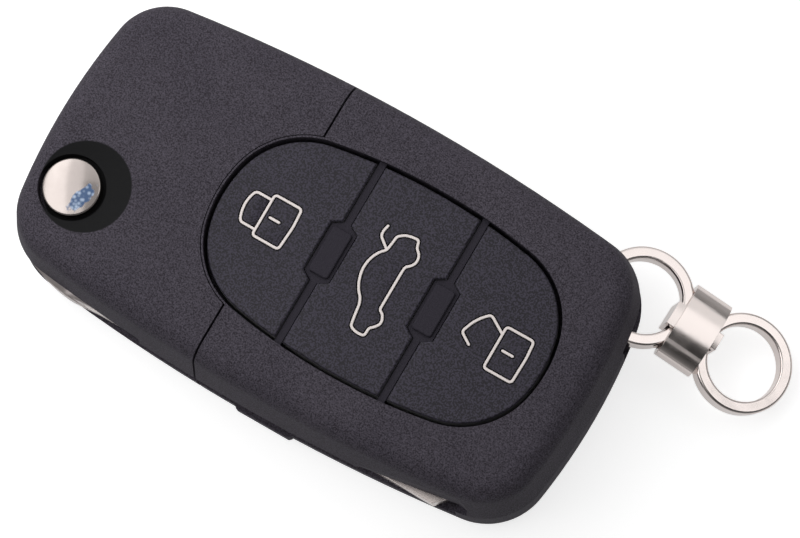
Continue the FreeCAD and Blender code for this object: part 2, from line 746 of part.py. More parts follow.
def moat_outline(sketch, bar_x, inset):
    """The recess round an island, flared to the groove at both ends."""
    wide = moat_width / 2 - inset
    long = moat_length / 2
    narrow = bar_width / 2 + bar_gap - inset
    flared = long + moat_flare
    polygon(sketch, [(bar_x - wide, -long), (bar_x - narrow, -flared), (bar_x + narrow, -flared),
                     (bar_x + wide, -long), (bar_x + wide, long), (bar_x + narrow, flared),
                     (bar_x - narrow, flared), (bar_x - wide, long)])


def on_island(point):
    """True for the corners of the raised islands above the bars."""
    return point.z > bar_top.value - 1e-6 and abs(point.y) < island_length.value / 2 + 1e-6


for number, bar_x in enumerate(bars):
    pad_shape(tail_upper, f"tu_bar_{number}", bar_low, bar_top,
              lambda s: rectangle(s, bar_x - bar_width / 2, bar_x + bar_width / 2,
                                  -well_half_width - bar_root, well_half_width + bar_root))
    pad_shape(tail_upper, f"tu_web_{number}", bar_low, bar_top, lambda s: moat_outline(s, bar_x, bar_gap))
for number, bar_x in enumerate(bars):
    pad_shape(tail_upper, f"tu_island_{number}", bar_top - root_sunk, island_top,
              lambda s: rectangle(s, bar_x - island_width / 2, bar_x + island_width / 2,
                                  -island_length / 2, island_length / 2))
fillet(tail_upper, island_corner, on_island, upright=True)
fillet(tail_upper, island_round, lambda point: at_height(island_top)(point) and on_island(point))
keys = [("lock", well_x - key_pitch), ("trunk", well_x), ("unlock", well_x + key_pitch)]
for name, key_x in keys:
    cut_shape(tail_upper, f"tu_stem_hole_{name}", as_size(0.0), case_thick,
              lambda s: circle(s, key_x, 0.0, cap_stem_radius + fit_gap))
cut_shape(tail_upper, "tu_bay", as_size(0.0), deck_bottom,
          lambda s: rectangle(s, -far_away, board_end + board_gap, board_low - board_gap,
                              board_high + board_gap))
for number, (sx, sy) in enumerate(tail_screws):
    pad_shape(tail_upper, f"tu_boss_{number}", parting_z, deck_bottom + roof_root,
              lambda s: circle(s, sx, sy, boss_radius))
    cut_shape(tail_upper, f"tu_bore_{number}", as_size(0.0), parting_z + screw_bite + bore_spare,
              lambda s: circle(s, sx, sy, screw_radius))
# Scoop that bares the blade's tip for a fingernail.
scoop_tip = slot_end + scoop_step
cut_shape(tail_upper, "tu_scoop", as_size(0.0), case_over,
          lambda s: polygon(s, [(slot_end - scoop_start, -far_away), (scoop_tip, -far_away),
                                (scoop_tip, scoop_end_depth - half_width),
                                (slot_end, scoop_depth - half_width),
                                (slot_end - scoop_start, scoop_start_depth - half_width)]))

# Blade carrier: hub on the spigot, fork for the blade
carrier = new_body("blade_carrier")
hub_bottom = back_wall + hub_gap_z
hub_top = roof_z - hub_gap_z
bore_floor = hub_bottom + hub_floor
pad_shape(carrier, "bc_hub", hub_bottom, hub_top, lambda s: circle(s, pivot_x, pivot_y, hub_radius))


def heel_outline(sketch):
    """The fork's outline: straight along the blade and round at the heel."""
    cx = pivot_x + heel_lead
    low_y = pivot_y - heel_depth
    cy = low_y + heel_round
    low = blade_low_y + fork_inset
    back_x = pivot_x - heel_back
    swing = math.acos((cx - back_x).value / heel_round.value)
    spots = [V(cx.value - heel_round.value * math.cos(angle), cy.value - heel_round.value * math.sin(angle), 0)
             for angle in (swing, (swing + math.pi / 2) / 2, math.pi / 2)]
    arc = sketch.addGeometry(Part.Arc(*spots), False)
    corner = Size(spots[0].y, f"({cy.text} - sqrt({heel_round.text}^2 - ({(cx - back_x).text})^2))")
    # The arc is stored running anticlockwise, from the back corner to the lowest point.
    points = [(cx, low_y), (pivot_x + heel_run, low), (pivot_x + carrier_reach, low),
              (pivot_x + carrier_reach, blade_high_y + carrier_lip), (pivot_x, blade_high_y + carrier_lip),
              (pivot_x, pivot_y), (pivot_x - hub_radius, pivot_y),
              (pivot_x - heel_cheek, pivot_y - heel_cheek_depth), (back_x, corner)]
    lines = []
    for (ax, ay), (bx, by) in zip(points, points[1:]):
        line = Part.LineSegment(V(as_size(ax).value, as_size(ay).value, 0),
                                V(as_size(bx).value, as_size(by).value, 0))
        lines.append(sketch.addGeometry(line, False))
    for first, second in zip(lines, lines[1:]):
        sketch.addConstraint(Sketcher.Constraint("Coincident", first, 2, second, 1))
    for line, (px, py) in zip(lines, points):
        tie(sketch, "DistanceX", line, 1, px)
        tie(sketch, "DistanceY", line, 1, py)
    tie(sketch, "DistanceX", lines[-1], 2, points[-1][0])
    tie(sketch, "DistanceY", lines[-1], 2, points[-1][1])
    sketch.addConstraint(Sketcher.Constraint("Coincident", arc, 2, lines[0], 1))
    sketch.addConstraint(Sketcher.Constraint("Coincident", arc, 1, lines[-1], 2))
    tie_radius(sketch, arc, heel_round)


pad_shape(carrier, "bc_fork", carrier_bottom, carrier_top, heel_outline)
cut_shape(carrier, "bc_blade_gap", blade_bottom, blade_top,
          lambda s: rectangle(s, pivot_x + blade_root, far_away, -far_away, blade_high_y))
cut_shape(carrier, "bc_pin_hole", as_size(0.0), case_thick,
          lambda s: circle(s, pivot_x + pin_reach, blade_y, pin_radius + pin_gap))
cut_shape(carrier, "bc_bore", bore_floor, case_over,
          lambda s: circle(s, pivot_x, pivot_y, hub_radius - hub_wall))
cut_shape(carrier, "bc_spigot_hole", as_size(0.0), case_thick,
          lambda s: circle(s, pivot_x, pivot_y, spigot_radius + run_gap))
flange_top = hub_top + flange_proud
flange_bottom = flange_top - flange_thick
cut_shape(carrier, "bc_lug_slots", flange_bottom - button_travel - lug_spare, case_thick,
          lambda s: rectangle(s, pivot_x - hub_radius - lug_gap, pivot_x + hub_radius + lug_gap,
                              pivot_y - lug_width / 2 - lug_gap, pivot_y + lug_width / 2 + lug_gap))

# Blade: an uncut blank with a milled track on each face
blade = new_body("key_blade")
tip_x = pivot_x + blade_reach
pad_shape(blade, "kb_blank", blade_bottom, blade_top,
          lambda s: polygon(s, [(pivot_x + blade_root, blade_low_y), (tip_x - blade_point, blade_low_y),
                                (tip_x, blade_low_y + blade_point), (tip_x, blade_high_y - blade_point),
                                (tip_x - blade_point, blade_high_y), (pivot_x + blade_root, blade_high_y)]))
cut_shape(blade, "kb_track_top", blade_top - blade_groove_depth, case_thick,
          lambda s: rectangle(s, pivot_x + blade_groove_start, far_away,
                              blade_y - blade_groove_width, blade_y))
cut_shape(blade, "kb_track_back", as_size(0.0), blade_bottom + blade_groove_depth,
          lambda s: rectangle(s, pivot_x + blade_groove_start, far_away,
                              blade_y, blade_y + blade_groove_width))
cut_shape(blade, "kb_pin_hole", as_size(0.0), case_thick,
          lambda s: circle(s, pivot_x + pin_reach, blade_y, pin_radius + pin_gap))

# Slotted spring pin through fork and blade
pin = new_body("blade_pin")
pad_shape(pin, "bp_tube", carrier_bottom, carrier_top,
          lambda s: circle(s, pivot_x + pin_reach, blade_y, pin_radius))
cut_shape(pin, "bp_bore", as_size(0.0), case_thick,
          lambda s: circle(s, pivot_x + pin_reach, blade_y, pin_radius - pin_wall))
cut_shape(pin, "bp_slit", as_size(0.0), case_thick,
          lambda s: rectangle(s, pivot_x + pin_reach, far_away, blade_y - pin_slit / 2,
                              blade_y + pin_slit / 2))

# Release button: domed cap, flange with two lugs and a guide stem
release = new_body("release_button")
button_top = case_thick + button_proud
pad_shape(release, "rb_cap", flange_bottom, button_top, lambda s: circle(s, pivot_x, pivot_y, button_radius))
fillet(release, button_dome, at_height(button_top))
pad_shape(release, "rb_flange", flange_bottom, flange_top,
          lambda s: circle(s, pivot_x, pivot_y, hub_radius - hub_wall - run_gap))
pad_shape(release, "rb_lugs", flange_bottom, flange_top,
          lambda s: rectangle(s, pivot_x - hub_radius + lug_gap, pivot_x + hub_radius - lug_gap,
                              pivot_y - lug_width / 2, pivot_y + lug_width / 2))
pad_shape(release, "rb_stem", flange_bottom - stem_length, flange_top,
          lambda s: circle(s, pivot_x, pivot_y, stem_radius))

# Flip spring: one coil between the hub's floor and the button's flange
spring = doc.addObject("Part::Feature", "flip_spring")
spring.Label = "flip_spring"
spring_low = bore_floor + spring_wire / 2 + seat_gap
spring_high = flange_bottom - spring_wire / 2 - seat_gap
spring_rise = (spring_high - spring_low).value
spring_pitch = spring_rise / spring_turns.value
coil = Part.makeHelix(spring_pitch, spring_rise, spring_radius.value)
wire_circle = Part.Circle(V(spring_radius.value, 0, 0), V(0, 1, 0), (spring_wire / 2).value)
spring.Shape = Part.Wire(coil.Edges).makePipeShell([Part.Wire(wire_circle.toShape())], True, True)
spring.Placement = FreeCAD.Placement(V(pivot_x.value, pivot_y.value, spring_low.value), FreeCAD.Rotation())

# Transponder capsule: a glass rod with round ends
capsule = new_body("transponder_capsule")
rod = new_sketch(capsule, "tc_section", 0.0, "XY_Plane")
cx0 = capsule_radius
flat = capsule_length - 2 * capsule_radius
tc_low = Part.Arc(V(0, 0, 0), V(cx0.value * math.sqrt(0.5), cx0.value * (1 - math.sqrt(0.5)), 0),
                  V(cx0.value, cx0.value, 0))
tc_high = Part.Arc(V(cx0.value, (cx0 + flat).value, 0),
                   V(cx0.value * math.sqrt(0.5), (cx0 + flat).value + cx0.value * math.sqrt(0.5), 0),
                   V(0, capsule_length.value, 0))
tc_side = Part.LineSegment(V(cx0.value, cx0.value, 0), V(cx0.value, (cx0 + flat).value, 0))
items = [rod.addGeometry(tc_low, False), rod.addGeometry(tc_side, False),
         rod.addGeometry(tc_high, False),
         rod.addGeometry(Part.LineSegment(V(0, capsule_length.value, 0), V(0, 0, 0)), False)]
for first, second in zip(items, items[1:] + items[:1]):
    rod.addConstraint(Sketcher.Constraint("Coincident", first, 2, second, 1))
tie(rod, "DistanceX", items[0], 1, 0.0)
tie(rod, "DistanceY", items[0], 1, 0.0)
tie(rod, "DistanceX", items[1], 1, capsule_radius)
tie(rod, "DistanceY", items[1], 1, capsule_radius)
tie(rod, "DistanceX", items[1], 2, capsule_radius)
tie(rod, "DistanceY", items[1], 2, capsule_radius + flat)
tie(rod, "DistanceX", items[2], 2, 0.0)
tie(rod, "DistanceY", items[2], 2, capsule_length)
tie_radius(rod, items[0], capsule_radius)
tie_radius(rod, items[2], capsule_radius)
revolve(capsule, rod)
capsule_start = V((capsule_x - capsule_length / 2).value, capsule_y.value, capsule_z.value)
capsule.Placement = FreeCAD.Placement(capsule_start, FreeCAD.Rotation(V(0, 0, 1), -90))

# Button mat: a thin rubber sheet in the well with a raised ring under each cap
mat = new_body("button_mat")
pad_shape(mat, "bm_sheet", well_floor, mat_top, lambda s: well_outline(s, -fit_gap))
for name, key_x in keys:
    pad_shape(mat, f"bm_dome_{name}", mat_top - mat_dome_root, mat_top + mat_dome_height,
              lambda s: circle(s, key_x, 0.0, mat_dome_radius))
for name, key_x in keys:
    cut_shape(mat, f"bm_hole_{name}", as_size(0.0), case_thick,
              lambda s: circle(s, key_x, 0.0, cap_stem_radius + fit_gap))

# Three caps: each fills its part of the oval and steps round the raised islands
for number, (name, key_x) in enumerate(keys):
    cap = new_body(f"button_{name}")
    pad_shape(cap, f"cap_{name}", cap_bottom, cap_top, lambda s: well_outline(s, -cap_gap))
    clear = bar_width / 2 + bar_gap
    for side, bar_x in enumerate(bars):
        if number <= side:
            x0, x1 = bar_x - clear, as_size(far_away)
        else:
            x0, x1 = -far_away, bar_x + clear
        cut_shape(cap, f"cap_{name}_edge_{side}", as_size(0.0), case_over,
                  lambda s: rectangle(s, x0, x1, -far_away, far_away))
        cut_shape(cap, f"cap_{name}_moat_{side}", as_size(0.0), case_over,
                  lambda s: moat_outline(s, bar_x, no_offset))
    pad_shape(cap, f"cap_{name}_stem", plunger_top + seat_gap, cap_bottom + root_sunk,
              lambda s: circle(s, key_x, 0.0, cap_stem_radius))

# Circuit board, resting on the rim of the tail's bay
board = new_body("circuit_board")
pad_shape(board, "cb_board", board_bottom, board_top,
          lambda s: rectangle(s, board_start, board_end, board_low, board_high))
for number, (sx, sy) in enumerate(tail_screws):
    cut_shape(board, f"cb_hole_{number}", as_size(0.0), case_thick,
              lambda s: circle(s, sx, sy, boss_radius + fit_gap))
cut_shape(board, "cb_ring_notch", as_size(0.0), case_thick,
          lambda s: circle(s, post_x, post_y, pocket_radius))

# Tactile switches: bodies on the board, plungers under the caps' stems
switches = new_body("switch_bodies_pattern")
pad_shape(switches, "sw_body", board_top, switch_top,
          lambda s: rectangle(s, -switch_side / 2, switch_side / 2, -switch_side / 2, switch_side / 2))
cut_shape(switches, "sw_bore", switch_top - plunger_sunk - cap_travel - seat_gap, case_thick,
          lambda s: circle(s, 0.0, 0.0, plunger_radius + seat_gap))
doc.recompute()
switch_group = doc.addObject("Part::Feature", "switch_bodies")
switch_group.Label = "switch_bodies"
switch_copies = [switches.Shape.translated(V(key_x.value, 0, 0)) for name, key_x in keys]
switch_group.Shape = Part.makeCompound(switch_copies)
for name, key_x in keys:
    plunger = new_body(f"switch_plunger_{name}")
    pad_shape(plunger, f"sp_{name}", switch_top - plunger_sunk, plunger_top,
              lambda s: circle(s, key_x, 0.0, plunger_radius))

# Coin cell, stepped at its negative face, with a contact under it and a leaf over it
cell_bottom = back_wall + contact_thick + seat_gap
cell_top = cell_bottom + cell_thick
cell = new_body("coin_cell")
pad_shape(cell, "cc_can", cell_bottom, cell_top - cell_lid, lambda s: circle(s, cell_x, cell_y, cell_radius))
pad_shape(cell, "cc_lid", cell_bottom, cell_top,
          lambda s: circle(s, cell_x, cell_y, cell_radius - cell_step))
riser_x = cell_x - cell_radius - riser_gap
positive = new_body("battery_contact_positive")
pad_shape(positive, "cp_plate", back_wall, back_wall + contact_thick,
          lambda s: rectangle(s, riser_x - contact_thick, cell_x - plate_short, cell_y - contact_width / 2,
                              cell_y + contact_width / 2))
pad_shape(positive, "cp_riser", back_wall, board_bottom,
          lambda s: rectangle(s, riser_x - contact_thick, riser_x, cell_y - contact_width / 2,
                              cell_y + contact_width / 2))
negative = new_body("battery_contact_negative")
leaf = new_sketch(negative, "cn_leaf", -(cell_y + contact_width / 2), "XZ_Plane")
leaf_start = cell_x - leaf_back
leaf_end = cell_x + leaf_front
contact_z = cell_top + seat_gap
polygon(leaf, [(leaf_start, board_bottom), (leaf_start, board_bottom - contact_thick),
               (leaf_start + leaf_bend, board_bottom - contact_thick), (leaf_end - leaf_bend, contact_z),
               (leaf_end, contact_z), (leaf_end, contact_z + contact_thick),
               (leaf_end - leaf_bend + leaf_slant, contact_z + contact_thick),
               (leaf_start + leaf_bend + leaf_slant, board_bottom)])
pad(negative, leaf, contact_width)

# Parts on the board's underside, left of the cell
chip = new_body("controller_chip")
chip_x = riser_x - chip_gap - chip_length / 2
chip_y = cell_y - chip_drop
pad_shape(chip, "ch_case", board_bottom - chip_tall, board_bottom,
          lambda s: rectangle(s, chip_x - chip_length / 2, chip_x + chip_length / 2,
                              chip_y - chip_width / 2, chip_y + chip_width / 2))
resonator = new_body("resonator")
pad_shape(resonator, "rs_can", board_bottom - resonator_tall, board_bottom,
          lambda s: rectangle(s, chip_x - resonator_side / 2, chip_x + resonator_side / 2,
                              cell_y - resonator_side / 2, cell_y + resonator_side / 2))
capacitor_boxes = []
for row_number in range(2):
    for column in range(4):
        box = Part.makeBox(capacitor_long.value, capacitor_side.value, capacitor_side.value)
        box_x = chip_x - capacitor_back + capacitor_pitch * column
        box_y = cell_y + capacitor_rise + capacitor_row * row_number
        box.translate(V(box_x.value, box_y.value, (board_bottom - capacitor_side).value))
        capacitor_boxes.append(box)
capacitors = doc.addObject("Part::Feature", "board_capacitors")
capacitors.Label = "board_capacitors"
capacitors.Shape = Part.makeCompound(capacitor_boxes)

# Case screws from the back, one pattern for all three
screw = new_body("case_screw_pattern")
screw_end = parting_z + screw_bite
pad_shape(screw, "cs_head", screw_sunk, seat_z, lambda s: circle(s, 0.0, 0.0, screw_head_radius))
pad_shape(screw, "cs_shank", screw_sunk, screw_end, lambda s: circle(s, 0.0, 0.0, screw_radius))
arm, across = screw_slot_reach, screw_slot / 2
for name, x, y in (("a", arm, across), ("b", across, arm)):
    cut_shape(screw, f"cs_cross_{name}", as_size(0.0), screw_sunk + screw_slot_depth,
              lambda s: rectangle(s, -x, x, -y, y))
doc.recompute()
screw_group = doc.addObject("Part::Feature", "case_screws")
screw_group.Label = "case_screws"
screw_group.Shape = Part.makeCompound([screw.Shape.translated(V(sx.value, sy.value, 0)) for sx, sy in screws])


def leaning(x, y, z, tilt):
    """A place along the chain: heading about Z, drooping by the tilt, then rolled sideways."""
    turn = FreeCAD.Rotation(V(0, 0, 1), ring_heading.value).multiply(FreeCAD.Rotation(V(0, 1, 0), tilt))
    return FreeCAD.Placement(V(x, y, z), turn.multiply(FreeCAD.Rotation(V(1, 0, 0), ring_roll.value)))


def droop(start, tilt, distance):
    """The point a distance down the chain from a place."""
    place = leaning(start.x, start.y, start.z, tilt)
    return place.multVec(V(distance, 0, 0))


def ring_body(label, place):
    ring = new_body(label)
    section = new_sketch(ring, label + "_section", 0.0, "XZ_Plane")
    rectangle(section, ring_inner, ring_outer, -ring_thick / 2, ring_thick / 2)
    revolve(ring, section)
    fillet(ring, ring_round, lambda point: True)
    ring.Placement = place
    return ring


inner_centre = V(ring_x.value, ring_y.value, ring_z.value)
sleeve_centre = droop(inner_centre, ring_tilt.value, sleeve_pitch.value)
outer_centre = droop(sleeve_centre, outer_tilt.value, sleeve_pitch.value)
inner_place = leaning(inner_centre.x, inner_centre.y, inner_centre.z, ring_tilt.value)
outer_place = leaning(outer_centre.x, outer_centre.y, outer_centre.z, outer_tilt.value)
sleeve_tilt = (ring_tilt.value + outer_tilt.value) / 2
sleeve_place = leaning(sleeve_centre.x, sleeve_centre.y, sleeve_centre.z, sleeve_tilt)
ring_body("ring_inner", inner_place)
ring_body("ring_outer", outer_place)

# Connector: an oval sleeve over both rings, with a web through each ring's hole
sleeve = doc.addObject("Part::Feature", "ring_connector")
sleeve.Label = "ring_connector"
sl, sw, st = sleeve_length.value, sleeve_width.value, sleeve_thick.value
oval = Part.makeBox(sl, sw - st, st, V(-sl / 2, -(sw - st) / 2, -st / 2))
for side in (-1, 1):
    oval = oval.fuse(Part.makeCylinder(st / 2, sl, V(-sl / 2, side * (sw - st) / 2, 0), V(1, 0, 0)))
to_ring = sleeve_pitch - ring_inner + sleeve_gap
for side, wall, wide in ((-1, sleeve_wall, web_width), (1, outer_wall, outer_web_width)):
    reach, tall = (to_ring + wall).value, web_tall.value
    web = Part.makeBox(reach, wide.value, tall, V(min(0, side * reach), -wide.value / 2, -tall / 2))
    oval = oval.fuse(web)
oval = oval.removeSplitter()
for centre, tilt in ((inner_place, ring_tilt.value), (outer_place, outer_tilt.value)):
    tunnel_tall = ring_thick.value + 2 * sleeve_gap.value
    tunnel = Part.makeCylinder(ring_outer.value + sleeve_gap.value, tunnel_tall, V(0, 0, -tunnel_tall / 2))
    core = Part.makeCylinder(ring_inner.value - sleeve_gap.value, tunnel_tall, V(0, 0, -tunnel_tall / 2))
    tunnel = tunnel.cut(core)
    tunnel.Placement = sleeve_place.inverse().multiply(centre)
    oval = oval.cut(tunnel)
sleeve.Shape = oval
sleeve.Placement = sleeve_place

doc.recompute()
kept = [o for o in doc.Objects
        if o.TypeId in ("PartDesign::Body", "Part::Feature") and "pattern" not in o.Label]
for o in doc.Objects:
    if "Invalid" in o.State or "Error" in o.State:
        raise RuntimeError(f"{o.Name} did not build: {o.State}")
for node in kept:
    if node.Shape.isNull() or not node.Shape.isValid():
        raise RuntimeError(f"{node.Label} has no valid shape")
for node in kept:
    node.Shape.exportStep(f"parts/{node.Label}.step")
    print(node.Label, len(node.Shape.Solids), round(node.Shape.Volume, 2))
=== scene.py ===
import math

import bmesh
import bpy
from mathutils import Matrix, Vector


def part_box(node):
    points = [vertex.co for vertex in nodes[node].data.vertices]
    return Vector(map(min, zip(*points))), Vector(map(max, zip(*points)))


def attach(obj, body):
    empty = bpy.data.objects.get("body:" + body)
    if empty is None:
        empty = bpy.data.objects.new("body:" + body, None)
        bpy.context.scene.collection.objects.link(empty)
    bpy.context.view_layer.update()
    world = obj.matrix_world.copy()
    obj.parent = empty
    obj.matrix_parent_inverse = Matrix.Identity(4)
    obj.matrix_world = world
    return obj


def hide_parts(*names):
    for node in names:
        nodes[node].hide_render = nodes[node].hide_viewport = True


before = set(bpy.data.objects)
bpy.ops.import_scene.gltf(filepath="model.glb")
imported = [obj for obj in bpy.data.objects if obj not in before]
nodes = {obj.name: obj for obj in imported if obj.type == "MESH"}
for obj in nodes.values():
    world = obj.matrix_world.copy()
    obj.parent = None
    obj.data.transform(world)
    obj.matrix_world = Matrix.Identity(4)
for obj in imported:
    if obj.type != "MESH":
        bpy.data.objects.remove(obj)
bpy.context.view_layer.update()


# Back halves of the case: two black ABS mouldings from spark-eroded moulds.
# The grain is even and fine, so they look soft black, with no clear reflection.
# Screws from the back hold each of them to its button half.
def linear(hex_colour):
    """An sRGB colour written as hex, as the linear colour that a shader takes."""
    channels = [int(hex_colour[i:i + 2], 16) / 255 for i in (1, 3, 5)]
    steps = [c / 12.92 if c <= 0.04045 else ((c + 0.055) / 1.055) ** 2.4 for c in channels]
    return (*steps, 1.0)


def per_metre(millimetres):
    """A pattern scale whose features come out this many millimetres wide."""
    return 1000 / millimetres


def add(tree, kind, settings=None, links=None):
    """Adds one node, sets its sockets or properties, links its inputs and hands it back."""
    made = tree.nodes.new(kind)
    for key, value in (settings or {}).items():
        if isinstance(key, int) or key in made.inputs:
            made.inputs[key].default_value = value
        else:
            setattr(made, key, value)
    for key, source in (links or {}).items():
        tree.links.new(source, made.inputs[key])
    return made


def start(name, **sockets):
    """A new material: its tree, its shader and the place on the part in metres."""
    material = bpy.data.materials.new(name)
    material.use_nodes = True
    tree = material.node_tree
    shader = tree.nodes["Principled BSDF"]
    for key, value in sockets.items():
        shader.inputs[key.replace("_", " ")].default_value = value
    place = add(tree, "ShaderNodeTexCoord").outputs["Object"]
    return material, tree, shader, place


def feed(tree, shader, colour=None, roughness=None, normal=None):
    """Links a pattern's results to the shader."""
    for socket, source in (("Base Color", colour), ("Roughness", roughness), ("Normal", normal)):
        if source is not None:
            tree.links.new(source, shader.inputs[socket])


def coat(made, *materials):
    """Gives an object these finishes in place of any that it had."""
    made.data.materials.clear()
    for material in materials:
        made.data.materials.append(material)


def dress(material, *names):
    """Gives CAD nodes this finish."""
    for name in names:
        coat(nodes[name], material)


# Moulded ABS, grained by spark erosion: pits and crests about 0.17 mm across, dark and pale.
# Slow changes of tone keep the broad faces from looking like paint. The mould was polished at the
# thumb dish round the release button, so the dish is smoother; its darker colour is painted shade
# in the hollow. The bars and finger rests in the well are sprayed with the keys' bluish lacquer.
grain_size, grain_depth, drift_size = 0.17, 0.03, 9.0
# The dish is where the case lies inside this ball, and its polish and painted shade fade out across the
# ball's skin.
dish_middle, dish_radius, fade_outside, fade_inside = (-25.8, -6.95, 14.7), 5.2, 0.03, 0.12
bars_middle, bars_half = (7.65, 0.0, 13.6), (8.8, 11.6, 1.12)
moulded_abs, tree, shader, place = start("moulded_abs", IOR=1.5, Specular_IOR_Level=0.1)
grain = add(tree, "ShaderNodeTexNoise", {"Scale": per_metre(grain_size), "Detail": 2.5, "Roughness": 0.6},
            {"Vector": place})
pitted = add(tree, "ShaderNodeMapRange", {"From Min": 0.36, "From Max": 0.66},
             {"Value": grain.outputs["Fac"]})
drift = add(tree, "ShaderNodeTexNoise", {"Scale": per_metre(drift_size), "Detail": 2.0}, {"Vector": place})
from_dish = add(tree, "ShaderNodeVectorMath",
                {"operation": "DISTANCE", 1: [c * 0.001 for c in dish_middle]}, {0: place})
in_dish = add(tree, "ShaderNodeMapRange",
              {"From Min": (dish_radius + fade_outside) * 0.001,
               "From Max": (dish_radius - fade_inside) * 0.001}, {"Value": from_dish.outputs["Value"]})
from_bars = add(tree, "ShaderNodeVectorMath",
                {"operation": "SUBTRACT", 1: [c * 0.001 for c in bars_middle]}, {0: place})
share = add(tree, "ShaderNodeVectorMath",
            {"operation": "DIVIDE", 1: [c * 0.001 for c in bars_half]}, {0: from_bars.outputs[0]})
sides = add(tree, "ShaderNodeVectorMath", {"operation": "ABSOLUTE"}, {0: share.outputs[0]})
across = add(tree, "ShaderNodeSeparateXYZ", {}, {"Vector": sides.outputs[0]})
widest = add(tree, "ShaderNodeMath", {"operation": "MAXIMUM"},
             {0: across.outputs["X"], 1: across.outputs["Y"]})
farthest = add(tree, "ShaderNodeMath", {"operation": "MAXIMUM"},
               {0: widest.outputs[0], 1: across.outputs["Z"]})
on_bars = add(tree, "ShaderNodeMath", {"operation": "LESS_THAN", 1: 1.0}, {0: farthest.outputs[0]})
speck = add(tree, "ShaderNodeMix", {"data_type": "RGBA", 6: linear("#332f35"), 7: linear("#625d67")},
            {0: pitted.outputs["Result"]})
tone = add(tree, "ShaderNodeMix", {"data_type": "RGBA", "blend_type": "MULTIPLY", 7: linear("#d8d8dc")},
           {0: drift.outputs["Fac"], 6: speck.outputs[2]})
# Painted shade: the dish is coloured darker than the rest of the case.
painted_dish_shade = add(tree, "ShaderNodeMix", {"data_type": "RGBA", 7: linear("#1b1b1c")},
           {0: in_dish.outputs["Result"], 6: tone.outputs[2]})
sprayed = add(tree, "ShaderNodeMix", {"data_type": "RGBA", 7: linear("#35323a")},
              {0: on_bars.outputs[0], 6: painted_dish_shade.outputs[2]})
sheen = add(tree, "ShaderNodeMapRange", {"To Min": 0.6, "To Max": 0.74}, {"Value": pitted.outputs["Result"]})
height = add(tree, "ShaderNodeMapRange", {"To Min": 1.0, "To Max": 0.04},
             {"Value": in_dish.outputs["Result"]})
relief = add(tree, "ShaderNodeBump", {"Distance": grain_depth * 0.001},
             {"Strength": height.outputs["Result"], "Height": pitted.outputs["Result"]})
feed(tree, shader, sprayed.outputs[2], sheen.outputs["Result"], relief.outputs["Normal"])
dress(moulded_abs, "head_lower_shell", "tail_lower_shell")

# Transponder capsule: a glass rod with a coil of copper wire on a ferrite core inside.
# The glass is thin and clear, so the eye sees the dark core, the copper and one bright streak.
capsule_low, capsule_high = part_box("transponder_capsule")
coil_from_start, coil_from_end, turn_pitch = 2.5, 3.5, 0.754
sealed_glass, tree, shader, place = start("sealed_glass", IOR=1.5, Roughness=0.06, Coat_Weight=1.0,
                                          Coat_Roughness=0.03)
along = add(tree, "ShaderNodeSeparateXYZ", {}, {"Vector": place})
after_core = add(tree, "ShaderNodeMath",
                 {"operation": "GREATER_THAN", 1: capsule_low.x + coil_from_start * 0.001},
                 {0: along.outputs["X"]})
before_end = add(tree, "ShaderNodeMath",
                 {"operation": "LESS_THAN", 1: capsule_high.x - coil_from_end * 0.001},
                 {0: along.outputs["X"]})
on_coil = add(tree, "ShaderNodeMath", {"operation": "MULTIPLY"},
              {0: after_core.outputs[0], 1: before_end.outputs[0]})
# The wire is 0.12 mm thick, and its turns are drawn 0.75 mm apart, coarse enough to show.
# A wave texture repeats every tenth of pi at scale 1.
turns = add(tree, "ShaderNodeTexWave", {"Scale": per_metre(turn_pitch) * math.pi / 10, "Distortion": 0.4},
            {"Vector": place})
copper = add(tree, "ShaderNodeMix", {"data_type": "RGBA", 6: linear("#b8672f"), 7: linear("#6d3a1b")},
             {0: turns.outputs["Fac"]})
core = add(tree, "ShaderNodeMix", {"data_type": "RGBA", 6: linear("#343634")},
           {0: on_coil.outputs[0], 7: copper.outputs[2]})
feed(tree, shader, core.outputs[2])
dress(sealed_glass, "transponder_capsule")

# Coin cell and its two contacts. The cell's steel can is turned and nickel plated.
# The contacts are stamped from thin nickel-silver strip and soldered to the board.
cell_low, cell_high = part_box("coin_cell")
cell_middle = (cell_low + cell_high) / 2
nickel_can, tree, shader, place = start("nickel_plated_can", Metallic=1.0)
centred = add(tree, "ShaderNodeVectorMath",
              {"operation": "SUBTRACT", 1: (cell_middle.x, cell_middle.y, 0.0)}, {0: place})
# Turning marks ring the cell's middle. They are 0.25 mm apart on the real can, and are drawn
# coarser so that they show.
ring_pitch = 1.571
rings = add(tree, "ShaderNodeTexWave",
            {"wave_type": "RINGS", "rings_direction": "Z", "Scale": per_metre(ring_pitch) * math.pi / 10,
             "Distortion": 1.5, "Detail": 2.0}, {"Vector": centred.outputs[0]})
plate = add(tree, "ShaderNodeMix", {"data_type": "RGBA", 6: linear("#b9b8b4"), 7: linear("#d3d2cf")},
            {0: rings.outputs["Fac"]})
gloss = add(tree, "ShaderNodeMapRange", {"To Min": 0.24, "To Max": 0.36}, {"Value": rings.outputs["Fac"]})
feed(tree, shader, plate.outputs[2], gloss.outputs["Result"])
dress(nickel_can, "coin_cell")

stamped_strip, tree, shader, place = start("stamped_nickel_silver", Metallic=1.0)
# Rolling lines of the strip run along X, 25 times as long as they are wide.
rolling_line = 0.15
drawn_out = add(tree, "ShaderNodeMapping", {"Scale": (0.04, 1.0, 1.0)}, {"Vector": place})
rolled = add(tree, "ShaderNodeTexNoise", {"Scale": per_metre(rolling_line), "Detail": 3.0},
             {"Vector": drawn_out.outputs[0]})
strip = add(tree, "ShaderNodeMix", {"data_type": "RGBA", 6: linear("#b5ab95"), 7: linear("#d6cdb8")},
            {0: rolled.outputs["Fac"]})
gloss = add(tree, "ShaderNodeMapRange", {"To Min": 0.22, "To Max": 0.42}, {"Value": rolled.outputs["Fac"]})
feed(tree, shader, strip.outputs[2], gloss.outputs["Result"])
dress(stamped_strip, "battery_contact_positive", "battery_contact_negative")

